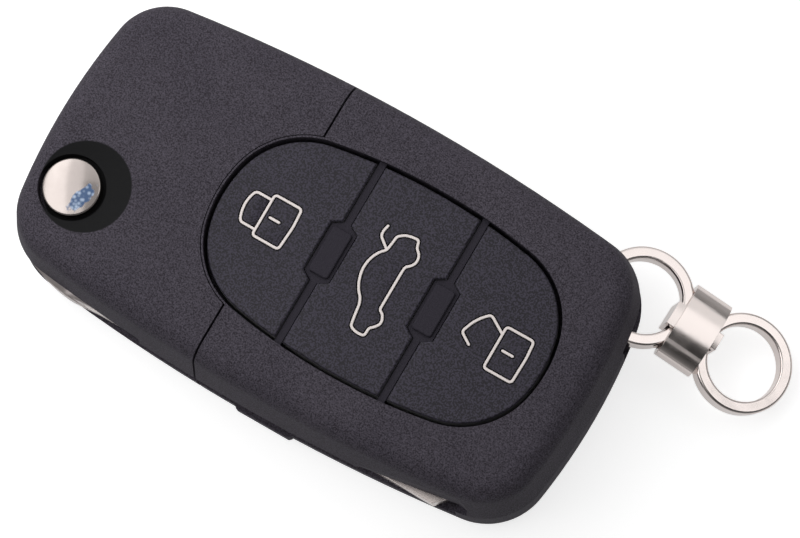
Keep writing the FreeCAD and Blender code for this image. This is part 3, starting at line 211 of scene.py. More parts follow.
# Circuit board: glass-epoxy laminate under green solder mask, with what is soldered on it.
# Copper tracks show through the mask as lighter green lines with a low relief.
solder_mask, tree, shader, place = start("solder_mask_on_glass_epoxy", IOR=1.55, Coat_Weight=0.4,
                                         Coat_Roughness=0.12)
# The tracks are 0.5 mm wide, 1.4 mm apart along one way and half that along the other. A brick
# is half as long as its texture's unit, and its mortar lies on both sides of each joint.
track_pitch, track_width = 1.4, 0.504
tracks = add(tree, "ShaderNodeTexBrick",
             {"Scale": per_metre(track_pitch) / 2, "Mortar Size": track_width / track_pitch / 4,
              "Mortar Smooth": 0.2, "Color1": (0, 0, 0, 1), "Color2": (0, 0, 0, 1), "Mortar": (1, 1, 1, 1)},
             {"Vector": place})
mask = add(tree, "ShaderNodeMix", {"data_type": "RGBA", 6: linear("#0d3b20"), 7: linear("#1d6a3a")},
           {0: tracks.outputs["Color"]})
relief = add(tree, "ShaderNodeBump", {"Strength": 0.6, "Distance": 0.00003},
             {"Height": tracks.outputs["Color"]})
# The glass cloth under the mask makes its gloss uneven.
cloth_size = 0.5
weave = add(tree, "ShaderNodeTexNoise", {"Scale": per_metre(cloth_size)}, {"Vector": place})
gloss = add(tree, "ShaderNodeMapRange", {"To Min": 0.25, "To Max": 0.4}, {"Value": weave.outputs["Fac"]})
feed(tree, shader, mask.outputs[2], gloss.outputs["Result"], relief.outputs["Normal"])
dress(solder_mask, "circuit_board")

filled_epoxy, tree, shader, place = start("filled_epoxy", IOR=1.55)
# Silica filler makes fine specks in the moulding compound.
speck_size = 0.1
filler = add(tree, "ShaderNodeTexNoise", {"Scale": per_metre(speck_size), "Detail": 2.0}, {"Vector": place})
compound = add(tree, "ShaderNodeMix", {"data_type": "RGBA", 6: linear("#17181a"), 7: linear("#2a2b2d")},
               {0: filler.outputs["Fac"]})
gloss = add(tree, "ShaderNodeMapRange", {"To Min": 0.5, "To Max": 0.68}, {"Value": filler.outputs["Fac"]})
feed(tree, shader, compound.outputs[2], gloss.outputs["Result"])
dress(filled_epoxy, "controller_chip", "switch_bodies")

drawn_can, tree, shader, place = start("drawn_resonator_can", Metallic=1.0)
scuff_size = 0.6
scuffs = add(tree, "ShaderNodeTexNoise", {"Scale": per_metre(scuff_size), "Detail": 4.0, "Distortion": 0.6},
             {"Vector": place})
tin = add(tree, "ShaderNodeMix", {"data_type": "RGBA", 6: linear("#a7a9aa"), 7: linear("#cfd1d2")},
          {0: scuffs.outputs["Fac"]})
gloss = add(tree, "ShaderNodeMapRange", {"To Min": 0.22, "To Max": 0.4}, {"Value": scuffs.outputs["Fac"]})
feed(tree, shader, tin.outputs[2], gloss.outputs["Result"])
dress(drawn_can, "resonator")

# Chip capacitors: two rows of small blocks of fired ceramic, a dull tan.
# They are soldered to the board's back beside the chip.
fired_ceramic, tree, shader, place = start("fired_ceramic", IOR=1.6)
pore_size = 0.08
pores = add(tree, "ShaderNodeTexNoise", {"Scale": per_metre(pore_size), "Detail": 2.0}, {"Vector": place})
clay = add(tree, "ShaderNodeMix", {"data_type": "RGBA", 6: linear("#8a6a48"), 7: linear("#a98762")},
           {0: pores.outputs["Fac"]})
gloss = add(tree, "ShaderNodeMapRange", {"To Min": 0.4, "To Max": 0.6}, {"Value": pores.outputs["Fac"]})
feed(tree, shader, clay.outputs[2], gloss.outputs["Result"])
dress(fired_ceramic, "board_capacitors")

# Switch plungers: short pins of white acetal, slick and a little translucent.
# Each is moulded and slides in the bore of its switch, under one key's stem.
slick_acetal, tree, shader, place = start("slick_acetal", IOR=1.48, Subsurface_Weight=0.15,
                                          Subsurface_Scale=0.0005)
flow_size = 1.2
flow = add(tree, "ShaderNodeTexNoise", {"Scale": per_metre(flow_size), "Detail": 1.0}, {"Vector": place})
acetal = add(tree, "ShaderNodeMix", {"data_type": "RGBA", 6: linear("#d9d6cd"), 7: linear("#efece4")},
             {0: flow.outputs["Fac"]})
gloss = add(tree, "ShaderNodeMapRange", {"To Min": 0.28, "To Max": 0.38}, {"Value": flow.outputs["Fac"]})
feed(tree, shader, acetal.outputs[2], gloss.outputs["Result"])
dress(slick_acetal, "switch_plunger_lock", "switch_plunger_trunk", "switch_plunger_unlock")

# Blade carrier: a zinc die casting that turns on the spigot and holds the blade in its fork.
# It is tumbled and plated with dull nickel, so it is pale grey with faint flow marks.
cast_zinc, tree, shader, place = start("cast_zinc", Metallic=1.0)
flow_size, skin_size = 2.4, 0.25
flow = add(tree, "ShaderNodeTexNoise", {"Scale": per_metre(flow_size), "Detail": 5.0, "Distortion": 1.2},
           {"Vector": place})
skin = add(tree, "ShaderNodeTexNoise", {"Scale": per_metre(skin_size), "Detail": 2.0}, {"Vector": place})
zinc = add(tree, "ShaderNodeMix", {"data_type": "RGBA", 6: linear("#aea6a4"), 7: linear("#c9c0be")},
           {0: flow.outputs["Fac"]})
gloss = add(tree, "ShaderNodeMapRange", {"To Min": 0.24, "To Max": 0.42}, {"Value": skin.outputs["Fac"]})
relief = add(tree, "ShaderNodeBump", {"Strength": 0.3, "Distance": 0.00001}, {"Height": skin.outputs["Fac"]})
feed(tree, shader, zinc.outputs[2], gloss.outputs["Result"], relief.outputs["Normal"])


def welded(node):
    """A copy of a CAD node's mesh whose doubled points are joined."""
    shape = bmesh.new()
    shape.from_mesh(nodes[node].data)
    bmesh.ops.remove_doubles(shape, verts=shape.verts, dist=1e-7)
    return shape


def keep(shape, name, flat_angle=35):
    """Turns a bmesh into an object: smooth faces, creases kept where faces meet at an angle."""
    mesh = bpy.data.meshes.new(name)
    shape.to_mesh(mesh)
    shape.free()
    made = bpy.data.objects.new(name, mesh)
    bpy.context.scene.collection.objects.link(made)
    mesh.shade_smooth()
    mesh.set_sharp_from_angle(angle=math.radians(flat_angle))
    even = made.modifiers.new("even_normals", "WEIGHTED_NORMAL")
    even.keep_sharp = True
    return made


# The casting's heel is fettled back to the line of the case: the farther past its start along X,
# the more it gives way.
heel_start, heel_end, heel_near = -22.5, -30.4, -15.5
pulled_x, pulled_y = 0.8, 0.3
shape = welded("blade_carrier")
for vert in shape.verts:
    share = (vert.co.x * 1000 - heel_start) / (heel_end - heel_start)
    if share > 0 and vert.co.y * 1000 < heel_near:
        vert.co.x += share * pulled_x * 0.001
        vert.co.y += math.sqrt(share) * pulled_y * 0.001
carrier = keep(shape, "carrier")
coat(carrier, cast_zinc)
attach(carrier, "blade_unit")
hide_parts("blade_carrier")


# Key blade: an uncut blank of nickel silver, milled to width, with a track on each face.
# Its edges are eased, and the milling leaves fine lines along it.
def eased(node, radius, sharpest=0.5, picked=None):
    """A copy of a CAD node whose edges sharper than this angle are rounded to this radius in mm."""
    shape = welded(node)
    bmesh.ops.dissolve_limit(shape, angle_limit=math.radians(0.5), verts=shape.verts, edges=shape.edges)
    sharp = [e for e in shape.edges
             if len(e.link_faces) == 2 and e.calc_face_angle() > sharpest and (picked is None or picked(e))]
    bmesh.ops.bevel(shape, geom=sharp, offset=radius * 0.001, segments=3, profile=0.5, affect="EDGES",
                    clamp_overlap=True)
    return shape


milled_nickel_silver, tree, shader, place = start("milled_nickel_silver", Metallic=1.0)
# Milling lines are drawn out along the blade, 20 times as long as they are wide.
milling_line, blade_edge = 0.12, 0.25
drawn_out = add(tree, "ShaderNodeMapping", {"Scale": (0.05, 1.0, 1.0)}, {"Vector": place})
lines = add(tree, "ShaderNodeTexNoise", {"Scale": per_metre(milling_line), "Detail": 3.0},
            {"Vector": drawn_out.outputs[0]})
metal = add(tree, "ShaderNodeMix", {"data_type": "RGBA", 6: linear("#cdc2bd"), 7: linear("#f0e6e2")},
            {0: lines.outputs["Fac"]})
gloss = add(tree, "ShaderNodeMapRange", {"To Min": 0.16, "To Max": 0.32}, {"Value": lines.outputs["Fac"]})
relief = add(tree, "ShaderNodeBump", {"Strength": 0.25, "Distance": 0.000006},
             {"Height": lines.outputs["Fac"]})
feed(tree, shader, metal.outputs[2], gloss.outputs["Result"], relief.outputs["Normal"])
blade = keep(eased("key_blade", blade_edge), "blade_blank")
coat(blade, milled_nickel_silver)
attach(blade, "blade_unit")
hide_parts("key_blade")

# Blade pin: a slotted spring pin, rolled from blued steel strip and driven through the fork.
blued_steel, tree, shader, place = start("blued_spring_steel", Metallic=1.0)
# The spring's drawing marks and the pin's rolling marks are equally long.
mark_size = 0.2
marks = add(tree, "ShaderNodeTexNoise", {"Scale": per_metre(mark_size), "Detail": 3.0, "Distortion": 0.5},
            {"Vector": place})
steel = add(tree, "ShaderNodeMix", {"data_type": "RGBA", 6: linear("#4b4d52"), 7: linear("#7d7f84")},
            {0: marks.outputs["Fac"]})
gloss = add(tree, "ShaderNodeMapRange", {"To Min": 0.25, "To Max": 0.42}, {"Value": marks.outputs["Fac"]})
feed(tree, shader, steel.outputs[2], gloss.outputs["Result"])
dress(blued_steel, "blade_pin")

# Flip spring: one coil of drawn spring steel, blued like the pin.
# It stands round the release button's stem, between the hub's floor and the button's flange.
dress(blued_steel, "flip_spring")

# Button halves of the case: the same grained ABS, closed over the back halves at the parting line.
# The tail's half carries the two bars between the keys, each with a raised finger rest.
dress(moulded_abs, "head_upper_shell", "tail_upper_shell")

# Button mat: one sheet of silicone rubber that lies in the well under the keys and keeps water out.
# It is moulded with a raised ring round each key's stem, and the ring lifts the key.
moulded_silicone, tree, shader, place = start("moulded_silicone", IOR=1.41)
bloom_size = 0.7
bloom = add(tree, "ShaderNodeTexNoise", {"Scale": per_metre(bloom_size), "Detail": 3.0}, {"Vector": place})
rubber = add(tree, "ShaderNodeMix", {"data_type": "RGBA", 6: linear("#0e0e10"), 7: linear("#19191c")},
             {0: bloom.outputs["Fac"]})
gloss = add(tree, "ShaderNodeMapRange", {"To Min": 0.55, "To Max": 0.75}, {"Value": bloom.outputs["Fac"]})
feed(tree, shader, rubber.outputs[2], gloss.outputs["Result"])
dress(moulded_silicone, "button_mat")


# Keys: three soft-touch caps side by side in the well, each over its own switch.
# The pictogram on each is engraved down to the pale core, so a pale line stands in a fine groove.
def rounded_path(corners, radius, closed=False, steps=6):
    """The line through these corners in millimetres, with each corner turned as a curve."""
    count = len(corners)
    # A curve takes up to this share of a side, and points nearer than this in millimetres are one.
    most_of_side, nearest = 0.48, 0.02
    line = []
    for index, corner in enumerate(corners):
        at = Vector(corner)
        if not closed and index in (0, count - 1):
            line.append(at)
            continue
        before = Vector(corners[index - 1]) - at
        after = Vector(corners[(index + 1) % count]) - at
        reach = min(radius, before.length * most_of_side, after.length * most_of_side)
        first = at + before.normalized() * reach
        last = at + after.normalized() * reach
        for step in range(steps + 1):
            t = step / steps
            line.append(first * (1 - t) ** 2 + at * 2 * t * (1 - t) + last * t ** 2)
    clean = [line[0]]
    for point in line[1:]:
        if (point - clean[-1]).length > nearest:
            clean.append(point)
    if closed and (clean[0] - clean[-1]).length < nearest:
        clean.pop()
    return clean


def stroke(shape, line, width, low, high, ease, closed=False):
    """Adds one raised line to a bmesh: flat on top, eased edges, round ends, in millimetres."""
    count = len(line)
    # A corner widens the line to keep its sides parallel, up to this limit.
    least_turn = 0.6
    sections = []
    for index, at in enumerate(line):
        back = at - line[index - 1] if closed or index > 0 else line[1] - at
        ahead = line[(index + 1) % count] - at if closed or index < count - 1 else back
        lean = (back.normalized() + ahead.normalized()).normalized()
        side = Vector((-lean.y, lean.x))
        turn = max(least_turn, side.dot(Vector((-ahead.y, ahead.x)).normalized()))
        sections.append((at, side, width / 2 / turn))
    if not closed:
        ends = []
        for at, side, half, sign in ((*sections[0], -1), (*sections[-1], 1)):
            heading = Vector((side.y, -side.x)) * sign
            arc = [(at + heading * half * math.sin(math.radians(angle)), side,
                    half * math.cos(math.radians(angle))) for angle in (30, 60, 84)]
            ends.append(arc)
        sections = ends[0][::-1] + sections + ends[1]
    rows = []
    for at, side, half in sections:
        inner = max(half - ease, half * 0.4)
        profile = ((half, low), (half, high - ease), (inner, high), (-inner, high), (-half, high - ease),
                   (-half, low))
        rows.append([shape.verts.new(((at.x + side.x * across) * 0.001, (at.y + side.y * across) * 0.001,
                                      z * 0.001)) for across, z in profile])
    pairs = list(zip(rows, rows[1:])) + ([(rows[-1], rows[0])] if closed else [])
    for first, second in pairs:
        for k, near in enumerate(first):
            ahead = (k + 1) % len(first)
            shape.faces.new((near, first[ahead], second[ahead], second[k]))
    if not closed:
        shape.faces.new(rows[0][::-1])
        shape.faces.new(rows[-1])


def strokes(paths, width, low, high, ease):
    """One bmesh with every line of a pictogram.

    Each later line is a hair lower, so that no two tops lie in one plane where they cross.
    """
    hair = 0.004
    shape = bmesh.new()
    for number, (corners, radius, closed) in enumerate(paths):
        line = rounded_path(corners, radius, closed)
        stroke(shape, line, width, low, high - hair * number, ease, closed)
    bmesh.ops.recalc_face_normals(shape, faces=shape.faces)
    return shape


soft_touch, tree, shader, place = start("soft_touch_lacquer", IOR=1.5, Specular_IOR_Level=0.26,
                                        Sheen_Weight=0.12, Sheen_Roughness=0.4)
# The lacquer follows the grain of the cap under it and is bluer than the case.
peel_size, wear_size = 0.2, 6.0
peel = add(tree, "ShaderNodeTexNoise", {"Scale": per_metre(peel_size), "Detail": 1.0, "Roughness": 0.5},
           {"Vector": place})
crests = add(tree, "ShaderNodeMapRange", {"From Min": 0.42, "From Max": 0.6}, {"Value": peel.outputs["Fac"]})
wear = add(tree, "ShaderNodeTexNoise", {"Scale": per_metre(wear_size), "Detail": 3.0}, {"Vector": place})
lacquer = add(tree, "ShaderNodeMix", {"data_type": "RGBA", 6: linear("#27242b"), 7: linear("#45414e")},
              {0: crests.outputs["Result"]})
thumbed = add(tree, "ShaderNodeMix", {"data_type": "RGBA", "blend_type": "MULTIPLY", 7: linear("#dcdce0")},
              {0: wear.outputs["Fac"], 6: lacquer.outputs[2]})
gloss = add(tree, "ShaderNodeMapRange", {"To Min": 0.46, "To Max": 0.6}, {"Value": crests.outputs["Result"]})
relief = add(tree, "ShaderNodeBump", {"Distance": 0.000009}, {"Height": crests.outputs["Result"]})
feed(tree, shader, thumbed.outputs[2], gloss.outputs["Result"], relief.outputs["Normal"])

pale_core, tree, shader, place = start("pale_core_plastic", IOR=1.5)
# The engraving beam leaves fine pits in the pale plastic.
pit_size = 0.1
pits = add(tree, "ShaderNodeTexNoise", {"Scale": per_metre(pit_size), "Detail": 2.0}, {"Vector": place})
cream = add(tree, "ShaderNodeMix", {"data_type": "RGBA", 6: linear("#eee2de"), 7: linear("#fbf3f0")},
            {0: pits.outputs["Fac"]})
gloss = add(tree, "ShaderNodeMapRange", {"To Min": 0.35, "To Max": 0.5}, {"Value": pits.outputs["Fac"]})
feed(tree, shader, cream.outputs[2], gloss.outputs["Result"])

cap_top, cap_edge = 14.75, 0.22
groove_width, groove_depth, groove_ease, cut_over = 0.6, 0.7, 0.02, 0.1
line_width, line_rise, line_root, line_ease = 0.3, 0.03, 0.02, 0.05
# Each line of a pictogram: its corners in millimetres, how far they are rounded, closed or not.
lock_paths = [
    ([(-7.27, 2.54), (-3.9, 2.54), (-3.74, 0.4), (-3.92, -2.53), (-7.22, -2.53)], 0.42, True),
    ([(-7.3, 1.85), (-9.25, 1.85), (-9.55, 1.1), (-9.66, 0.1), (-9.52, -0.9), (-9.14, -1.87),
      (-7.3, -1.87)], 0.4, False),
    ([(-6.48, 0.06), (-5.34, 0.06)], 0.2, False)]
trunk_paths = [
    ([(6.36, 3.2), (6.5, 4.2), (6.58, 5.05), (7.3, 5.6), (8.1, 5.8), (8.85, 5.85), (9.12, 4.95),
      (9.56, 4.6), (9.83, 4.06), (9.83, 3.45), (9.5, 2.95), (9.06, 2.6), (9.0, 2.1), (9.0, -2.6),
      (9.08, -2.86), (9.5, -3.1), (9.83, -3.7), (9.83, -4.2), (9.45, -4.75), (9.02, -5.1), (8.97, -6.1),
      (8.4, -6.19), (7.8, -6.14), (7.2, -5.9), (7.02, -5.0), (6.78, -3.35), (6.5, -2.7), (5.95, -2.1),
      (5.5, -1.3), (5.22, -0.4), (5.12, 0.4), (5.2, 1.2), (5.45, 2.0), (5.85, 2.7)], 0.3, True),
    ([(5.15, 5.58), (4.98, 4.9), (5.04, 4.28), (6.32, 3.25)], 0.4, False)]
unlock_paths = [
    ([(21.81, 2.33), (25.16, 2.33), (25.32, 0.4), (25.24, -2.76), (21.81, -2.76)], 0.42, True),
    ([(21.75, 1.4), (19.75, 2.62), (18.95, 1.8), (18.35, 0.85), (17.86, -0.5), (19.22, -1.38)], 0.4, False),
    ([(22.7, -0.18), (23.95, -0.19)], 0.2, False)]
for key, paths in (("lock", lock_paths), ("trunk", trunk_paths), ("unlock", unlock_paths)):
    # Only the edges at the cap's top are rounded.
    shape = eased(f"button_{key}", cap_edge,
                  picked=lambda e: min(v.co.z for v in e.verts) > (cap_top - 0.01) * 0.001)
    cap = keep(shape, f"cap_{key}")
    groove_floor = cap_top - groove_depth
    groove = keep(strokes(paths, groove_width, groove_floor, cap_top + cut_over, groove_ease), "groove")
    engraved = cap.modifiers.new("engraved", "BOOLEAN")
    engraved.object = groove
    engraved.operation = "DIFFERENCE"
    engraved.solver = "EXACT"
    engraved.use_self = True
    cap.modifiers.move(1, 0)
    bpy.context.view_layer.update()
    carved = bpy.data.meshes.new_from_object(cap.evaluated_get(bpy.context.evaluated_depsgraph_get()))
    cap.modifiers.clear()
    cap.data = carved
    bpy.data.objects.remove(groove)
    coat(cap, soft_touch)
    shape = strokes(paths, line_width, groove_floor - line_root, cap_top + line_rise, line_ease)
    pictogram = keep(shape, f"pictogram_{key}")
    # The lines' flanks are coated with the dark lacquer, painted shade that gives each line its dark edge in
    # the groove.
    coat(pictogram, pale_core, soft_touch)
    for face in pictogram.data.polygons:
        face.material_index = 0 if face.normal.z > 0.5 else 1
    for piece in (cap, pictogram):
        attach(piece, f"{key}_key")
    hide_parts(f"button_{key}")


# Release button: a chrome-plated dome over a black moulded flange and stem.
# The flange has two lugs in the hub's slots, and the stem guides the spring.
def lathe(profile, turns=96):
    """A solid turned from half of its section, given as radius and height in millimetres."""
    shape = bmesh.new()
    rows = []
    for radius, z in profile:
        if radius == 0:
            rows.append([shape.verts.new((0, 0, z * 0.001))])
            continue
        row = []
        for k in range(turns):
            angle = 2 * math.pi * k / turns
            row.append(shape.verts.new((radius * math.cos(angle) * 0.001, radius * math.sin(angle) * 0.001,
                                        z * 0.001)))
        rows.append(row)
    for first, second in zip(rows, rows[1:]):
        for k in range(turns):
            ahead = (k + 1) % turns
            corners = [first[k % len(first)], first[ahead % len(first)],
                       second[ahead % len(second)], second[k % len(second)]]
            shape.faces.new(list(dict.fromkeys(corners)))
    bmesh.ops.recalc_face_normals(shape, faces=shape.faces)
    return shape


bright_plating, tree, shader, place = start("bright_nickel_chrome", Metallic=1.0)
# Plating over polished steel: almost a mirror, slightly warm, with a haze in patches.
haze_size = 2.0
haze = add(tree, "ShaderNodeTexNoise", {"Scale": per_metre(haze_size), "Detail": 4.0}, {"Vector": place})
chrome = add(tree, "ShaderNodeMix", {"data_type": "RGBA", 6: linear("#e0d6d2"), 7: linear("#ece2de")},
             {0: haze.outputs["Fac"]})
gloss = add(tree, "ShaderNodeMapRange", {"From Min": 0.3, "From Max": 0.75, "To Min": 0.1, "To Max": 0.2},
            {"Value": haze.outputs["Fac"]})
feed(tree, shader, chrome.outputs[2], gloss.outputs["Result"])

# The dome has the same plating, with its colour painted darker as shade against the bright side lamp.
# A scrap of blue packing film clings to its side towards the keys, a ragged oval with bubbles under it.
shaded_button_plating, tree, shader, place = start("film_on_shaded_nickel_chrome", Metallic=1.0)
pivot = Vector((-0.0271, -0.0077, 0.0))
film_middle = pivot + Vector((0.00165, -0.00055, 0.0))
film_turn, film_half_width, film_half_length, tear_size, bubble_size = 14.7, 0.78, 1.85, 0.8, 0.45
from_film = add(tree, "ShaderNodeVectorMath", {"operation": "SUBTRACT", 1: film_middle}, {0: place})
along_rim = add(tree, "ShaderNodeVectorRotate",
                {"rotation_type": "Z_AXIS", "Angle": math.radians(film_turn)},
                {"Vector": from_film.outputs[0]})
oval = add(tree, "ShaderNodeVectorMath",
           {"operation": "MULTIPLY", 1: (1000 / film_half_width, 1000 / film_half_length, 0.0)},
           {0: along_rim.outputs[0]})
reached = add(tree, "ShaderNodeVectorMath", {"operation": "LENGTH"}, {0: oval.outputs[0]})
ragged = add(tree, "ShaderNodeTexNoise", {"Scale": per_metre(tear_size), "Detail": 3.0}, {"Vector": place})
torn = add(tree, "ShaderNodeMath", {"operation": "MULTIPLY_ADD", 1: 1.1},
           {0: ragged.outputs["Fac"], 2: reached.outputs["Value"]})
on_film = add(tree, "ShaderNodeMapRange", {"From Min": 1.62, "From Max": 1.42}, {"Value": torn.outputs[0]})
# The bubbles are not modelled: their pale middles and dark rims are painted light and shade on the film.
bubbles = add(tree, "ShaderNodeTexVoronoi", {"Scale": per_metre(bubble_size)}, {"Vector": place})
bubble_shading = add(tree, "ShaderNodeMapRange", {"From Min": 0.15, "From Max": 0.6},
           {"Value": bubbles.outputs["Distance"]})
blue = add(tree, "ShaderNodeMix", {"data_type": "RGBA", 6: linear("#b9cce6"), 7: linear("#4b668e")},
           {0: bubble_shading.outputs["Result"]})
haze = add(tree, "ShaderNodeTexNoise", {"Scale": per_metre(haze_size), "Detail": 4.0}, {"Vector": place})
# Painted shade: the dome's plating is darker than the same plating on the rings and sleeve.
chrome = add(tree, "ShaderNodeMix", {"data_type": "RGBA", 6: linear("#a89f9b"), 7: linear("#b8afab")},
             {0: haze.outputs["Fac"]})
coloured = add(tree, "ShaderNodeMix", {"data_type": "RGBA"},
               {0: on_film.outputs["Result"], 6: chrome.outputs[2], 7: blue.outputs[2]})
gloss = add(tree, "ShaderNodeMapRange", {"To Min": 0.2, "To Max": 0.34}, {"Value": on_film.outputs["Result"]})
bare_metal = add(tree, "ShaderNodeMapRange", {"To Min": 1.0, "To Max": 0.0},
                 {"Value": on_film.outputs["Result"]})
tree.links.new(bare_metal.outputs["Result"], shader.inputs["Metallic"])
feed(tree, shader, coloured.outputs[2], gloss.outputs["Result"])
dome_top, dome_fall, dome_reach = 15.5, 0.5, 3.05
flange_top, lug_place, lug_size, lug_edge = 13.1, (4.05, 0.0, 12.5), (0.9, 1.6, 1.2), 0.12
profile = [(0, 7.1), (1.1, 7.1), (1.3, 7.3), (1.3, 11.9), (3.82, 11.9), (3.94, 12.02), (3.94, 12.98),
           (3.82, flange_top), (3.25, flange_top), (3.25, 14.76), (3.22, 14.88), (3.15, 14.96)]
profile += [(dome_reach * r, dome_top - dome_fall * r * r) for r in (1.0, 0.9, 0.78, 0.64, 0.48, 0.32, 0.16)]
shape = lathe(profile + [(0, dome_top)])
for side in (-1, 1):
    lug_middle = Vector((side * lug_place[0], lug_place[1], lug_place[2])) * 0.001
    lug = bmesh.ops.create_cube(shape, size=1.0, matrix=Matrix.Translation(lug_middle)
                                @ Matrix.Diagonal([*(length * 0.001 for length in lug_size), 1]))
    edges = list({e for v in lug["verts"] for e in v.link_edges})
    bmesh.ops.bevel(shape, geom=edges, offset=lug_edge * 0.001, segments=2, profile=0.5, affect="EDGES")
release = keep(shape, "release_dome", 40)
release.data.transform(Matrix.Translation(pivot))
coat(release, shaded_button_plating, moulded_abs)
# All up to the flange's top is the black moulding.
for face in release.data.polygons:
    if max(release.data.vertices[v].co.z for v in face.vertices) < (flange_top + 0.05) * 0.001:
        face.material_index = 1
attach(release, "release")
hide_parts("release_button")

# Case screws: three small cross-recess screws of steel, zinc plated and blackened.
# They sit deep in the back and go up through the back halves into the button halves.
blackened_zinc, tree, shader, place = start("blackened_zinc", Metallic=1.0)
patch_size = 0.5
patches = add(tree, "ShaderNodeTexNoise", {"Scale": per_metre(patch_size), "Detail": 3.0}, {"Vector": place})
black_zinc = add(tree, "ShaderNodeMix", {"data_type": "RGBA", 6: linear("#3a3a3c"), 7: linear("#5c5c5f")},
                 {0: patches.outputs["Fac"]})
gloss = add(tree, "ShaderNodeMapRange", {"To Min": 0.28, "To Max": 0.45}, {"Value": patches.outputs["Fac"]})
feed(tree, shader, black_zinc.outputs[2], gloss.outputs["Result"])
dress(blackened_zinc, "case_screws")

# Ring chain: two flat rings turned from steel bar, joined by a pressed sleeve, all bright plated.
# The first ring hangs on a post in the case's corner, and the sleeve turns on both rings.
dress(bright_plating, "ring_inner", "ring_outer")
# The sleeve was pressed to a crown: its top falls to both ends, and hardly at the rings' height.
# Only its outer edges are rounded, and not where its facets meet.
crown_fall, sleeve_reach, sleeve_top, slices, sleeve_edge, outer_edge = 0.7, 4.65, 2.1, 20, 0.3, 1.1
heading, droop, roll = -3, 12, -8
sleeve_low, sleeve_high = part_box("ring_connector")
sleeve_turn = (Matrix.Rotation(math.radians(heading), 4, "Z") @ Matrix.Rotation(math.radians(droop), 4, "Y")
               @ Matrix.Rotation(math.radians(roll), 4, "X"))
sleeve_place = Matrix.Translation((sleeve_low + sleeve_high) / 2) @ sleeve_turn
shape = eased("ring_connector", sleeve_edge, outer_edge)
bmesh.ops.transform(shape, matrix=sleeve_place.inverted(), verts=shape.verts)
for k in range(1, slices):
    cut_y = sleeve_reach * (2 * k / slices - 1) * 0.001
    bmesh.ops.bisect_plane(shape, geom=shape.verts[:] + shape.edges[:] + shape.faces[:],
                           plane_co=(0, cut_y, 0), plane_no=(0, 1, 0), dist=1e-7)
for vert in shape.verts:
    over = max(0.0, vert.co.z * 1000 / sleeve_top) ** 3
    vert.co.z -= over * crown_fall * 0.001 * (vert.co.y * 1000 / sleeve_reach) ** 2
bmesh.ops.transform(shape, matrix=sleeve_place, verts=shape.verts)
sleeve = keep(shape, "sleeve")
coat(sleeve, bright_plating)
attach(sleeve, "connector")
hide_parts("ring_connector")


# Studio: a plain pale floor, five soft boxes in one plane above the part, and a dim sky.
# The floor shows white to the camera and paler in the metal, and keeps the part's shadow. It lies
# a hair under the back, so that the two faces do not flicker into each other.
reach, floor_drop, camera_lift, mirror_lift = 2.0, 0.05, 0.72, 0.4
floor_mesh = bpy.data.meshes.new("floor")
floor_mesh.from_pydata([(-reach, -reach, 0), (reach, -reach, 0), (reach, reach, 0), (-reach, reach, 0)], [],
                       [(0, 1, 2, 3)])
floor = bpy.data.objects.new("floor", floor_mesh)
bpy.context.scene.collection.objects.link(floor)
floor.location.z = -floor_drop * 0.001
paper, tree, shader, place = start("studio_paper", Roughness=1.0, Base_Color=(0.6, 0.6, 0.6, 1))
seen = add(tree, "ShaderNodeLightPath")
mirrored = add(tree, "ShaderNodeMath", {"operation": "MAXIMUM"},
               {0: seen.outputs["Is Glossy Ray"], 1: seen.outputs["Is Transmission Ray"]})
mirrored_lift = add(tree, "ShaderNodeMath", {"operation": "MULTIPLY", 1: mirror_lift},
                    {0: mirrored.outputs[0]})
lift = add(tree, "ShaderNodeMath", {"operation": "MULTIPLY_ADD", 1: camera_lift},
           {0: seen.outputs["Is Camera Ray"], 2: mirrored_lift.outputs[0]})
shader.inputs["Emission Color"].default_value = (1, 1, 1, 1)
tree.links.new(lift.outputs[0], shader.inputs["Emission Strength"])
floor_mesh.materials.append(paper)

# The sky is a dim grey, brighter low down than overhead, and brighter on the side of the lamps.
# The camera sees it white.
low_sky, high_sky, far_side, lamps_side, lamps_heading = 0.4, 0.05, 0.6, 1.3, (-0.967, 0.254, 0.0)
world = bpy.data.worlds.new("studio")
world.use_nodes = True
tree = world.node_tree
outward = add(tree, "ShaderNodeTexCoord").outputs["Generated"]
upward = add(tree, "ShaderNodeSeparateXYZ", {}, {"Vector": outward})
by_height = add(tree, "ShaderNodeMapRange",
                {"From Min": 0.2, "From Max": 0.85, "To Min": low_sky, "To Max": high_sky},
                {"Value": upward.outputs["Z"]})
towards_lamps = add(tree, "ShaderNodeVectorMath", {"operation": "DOT_PRODUCT", 1: lamps_heading},
                    {0: outward})
by_side = add(tree, "ShaderNodeMapRange", {"From Min": -1.0, "To Min": far_side, "To Max": lamps_side},
              {"Value": towards_lamps.outputs["Value"]})
strength = add(tree, "ShaderNodeMath", {"operation": "MULTIPLY"},
               {0: by_height.outputs["Result"], 1: by_side.outputs["Result"]})
seen = add(tree, "ShaderNodeLightPath")
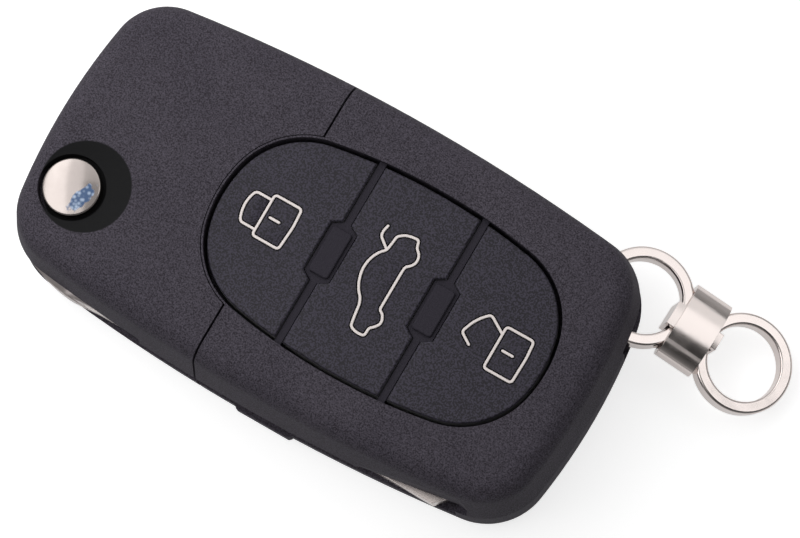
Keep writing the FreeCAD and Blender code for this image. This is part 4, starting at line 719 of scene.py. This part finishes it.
behind = add(tree, "ShaderNodeMath", {"operation": "MAXIMUM"},
             {0: strength.outputs[0], 1: seen.outputs["Is Camera Ray"]})
tree.nodes["Background"].inputs["Color"].default_value = (1, 1, 1, 1)
tree.links.new(behind.outputs[0], tree.nodes["Background"].inputs["Strength"])
bpy.context.scene.world = world


def soft_box(name, low, high, brightness):
    """A rectangular lamp that faces down, between two corners given in millimetres.

    The corners are measured along the photograph's width and its height, which are turned about Z
    against the part.
    """
    turn = math.radians(image_turn)
    across = (low[0] + high[0]) / 2000
    upward = (low[1] + high[1]) / 2000
    data = bpy.data.lights.new(name, "AREA")
    data.shape = "RECTANGLE"
    data.size = (high[0] - low[0]) / 1000
    data.size_y = (high[1] - low[1]) / 1000
    data.energy = brightness * math.pi * data.size * data.size_y
    lamp = bpy.data.objects.new(name, data)
    lamp.location = (across * math.cos(turn) - upward * math.sin(turn),
                     across * math.sin(turn) + upward * math.cos(turn), lamp_height * 0.001)
    lamp.rotation_euler = (0, 0, turn)
    lamp.visible_camera = False
    bpy.context.scene.collection.objects.link(lamp)


lamp_height, image_turn = 165, 30.26
soft_box("key_light", (-5, 60), (210, 290), 0.8)
soft_box("side_light", (-200, -80), (-70, 290), 2.1)
soft_box("middle_light", (-70, -80), (-5, 290), 1.35)
soft_box("ring_light", (75, -4), (230, 60), 1.2)
soft_box("fill_light", (-5, -80), (75, 60), 0.45)

# Camera: the photograph's viewing angle, almost straight down, with the part turned 30 degrees.
lens = bpy.data.cameras.new("camera")
lens.sensor_width = 36
lens.lens = 143.16
lens.clip_start = 0.01
camera = bpy.data.objects.new("camera", lens)
right = Vector((0.8621, 0.5030, -0.0619)).normalized()
back = Vector((0.1529, -0.1417, 0.9780))
back = (back - back.dot(right) * right).normalized()
up = back.cross(right)
turned = Matrix((right, up, back)).transposed().to_4x4()
camera.matrix_world = Matrix.Translation((0.061007, -0.046406, 0.349601)) @ turned
bpy.context.scene.collection.objects.link(camera)
bpy.context.scene.camera = camera
bpy.context.scene.view_settings.view_transform = "Standard"
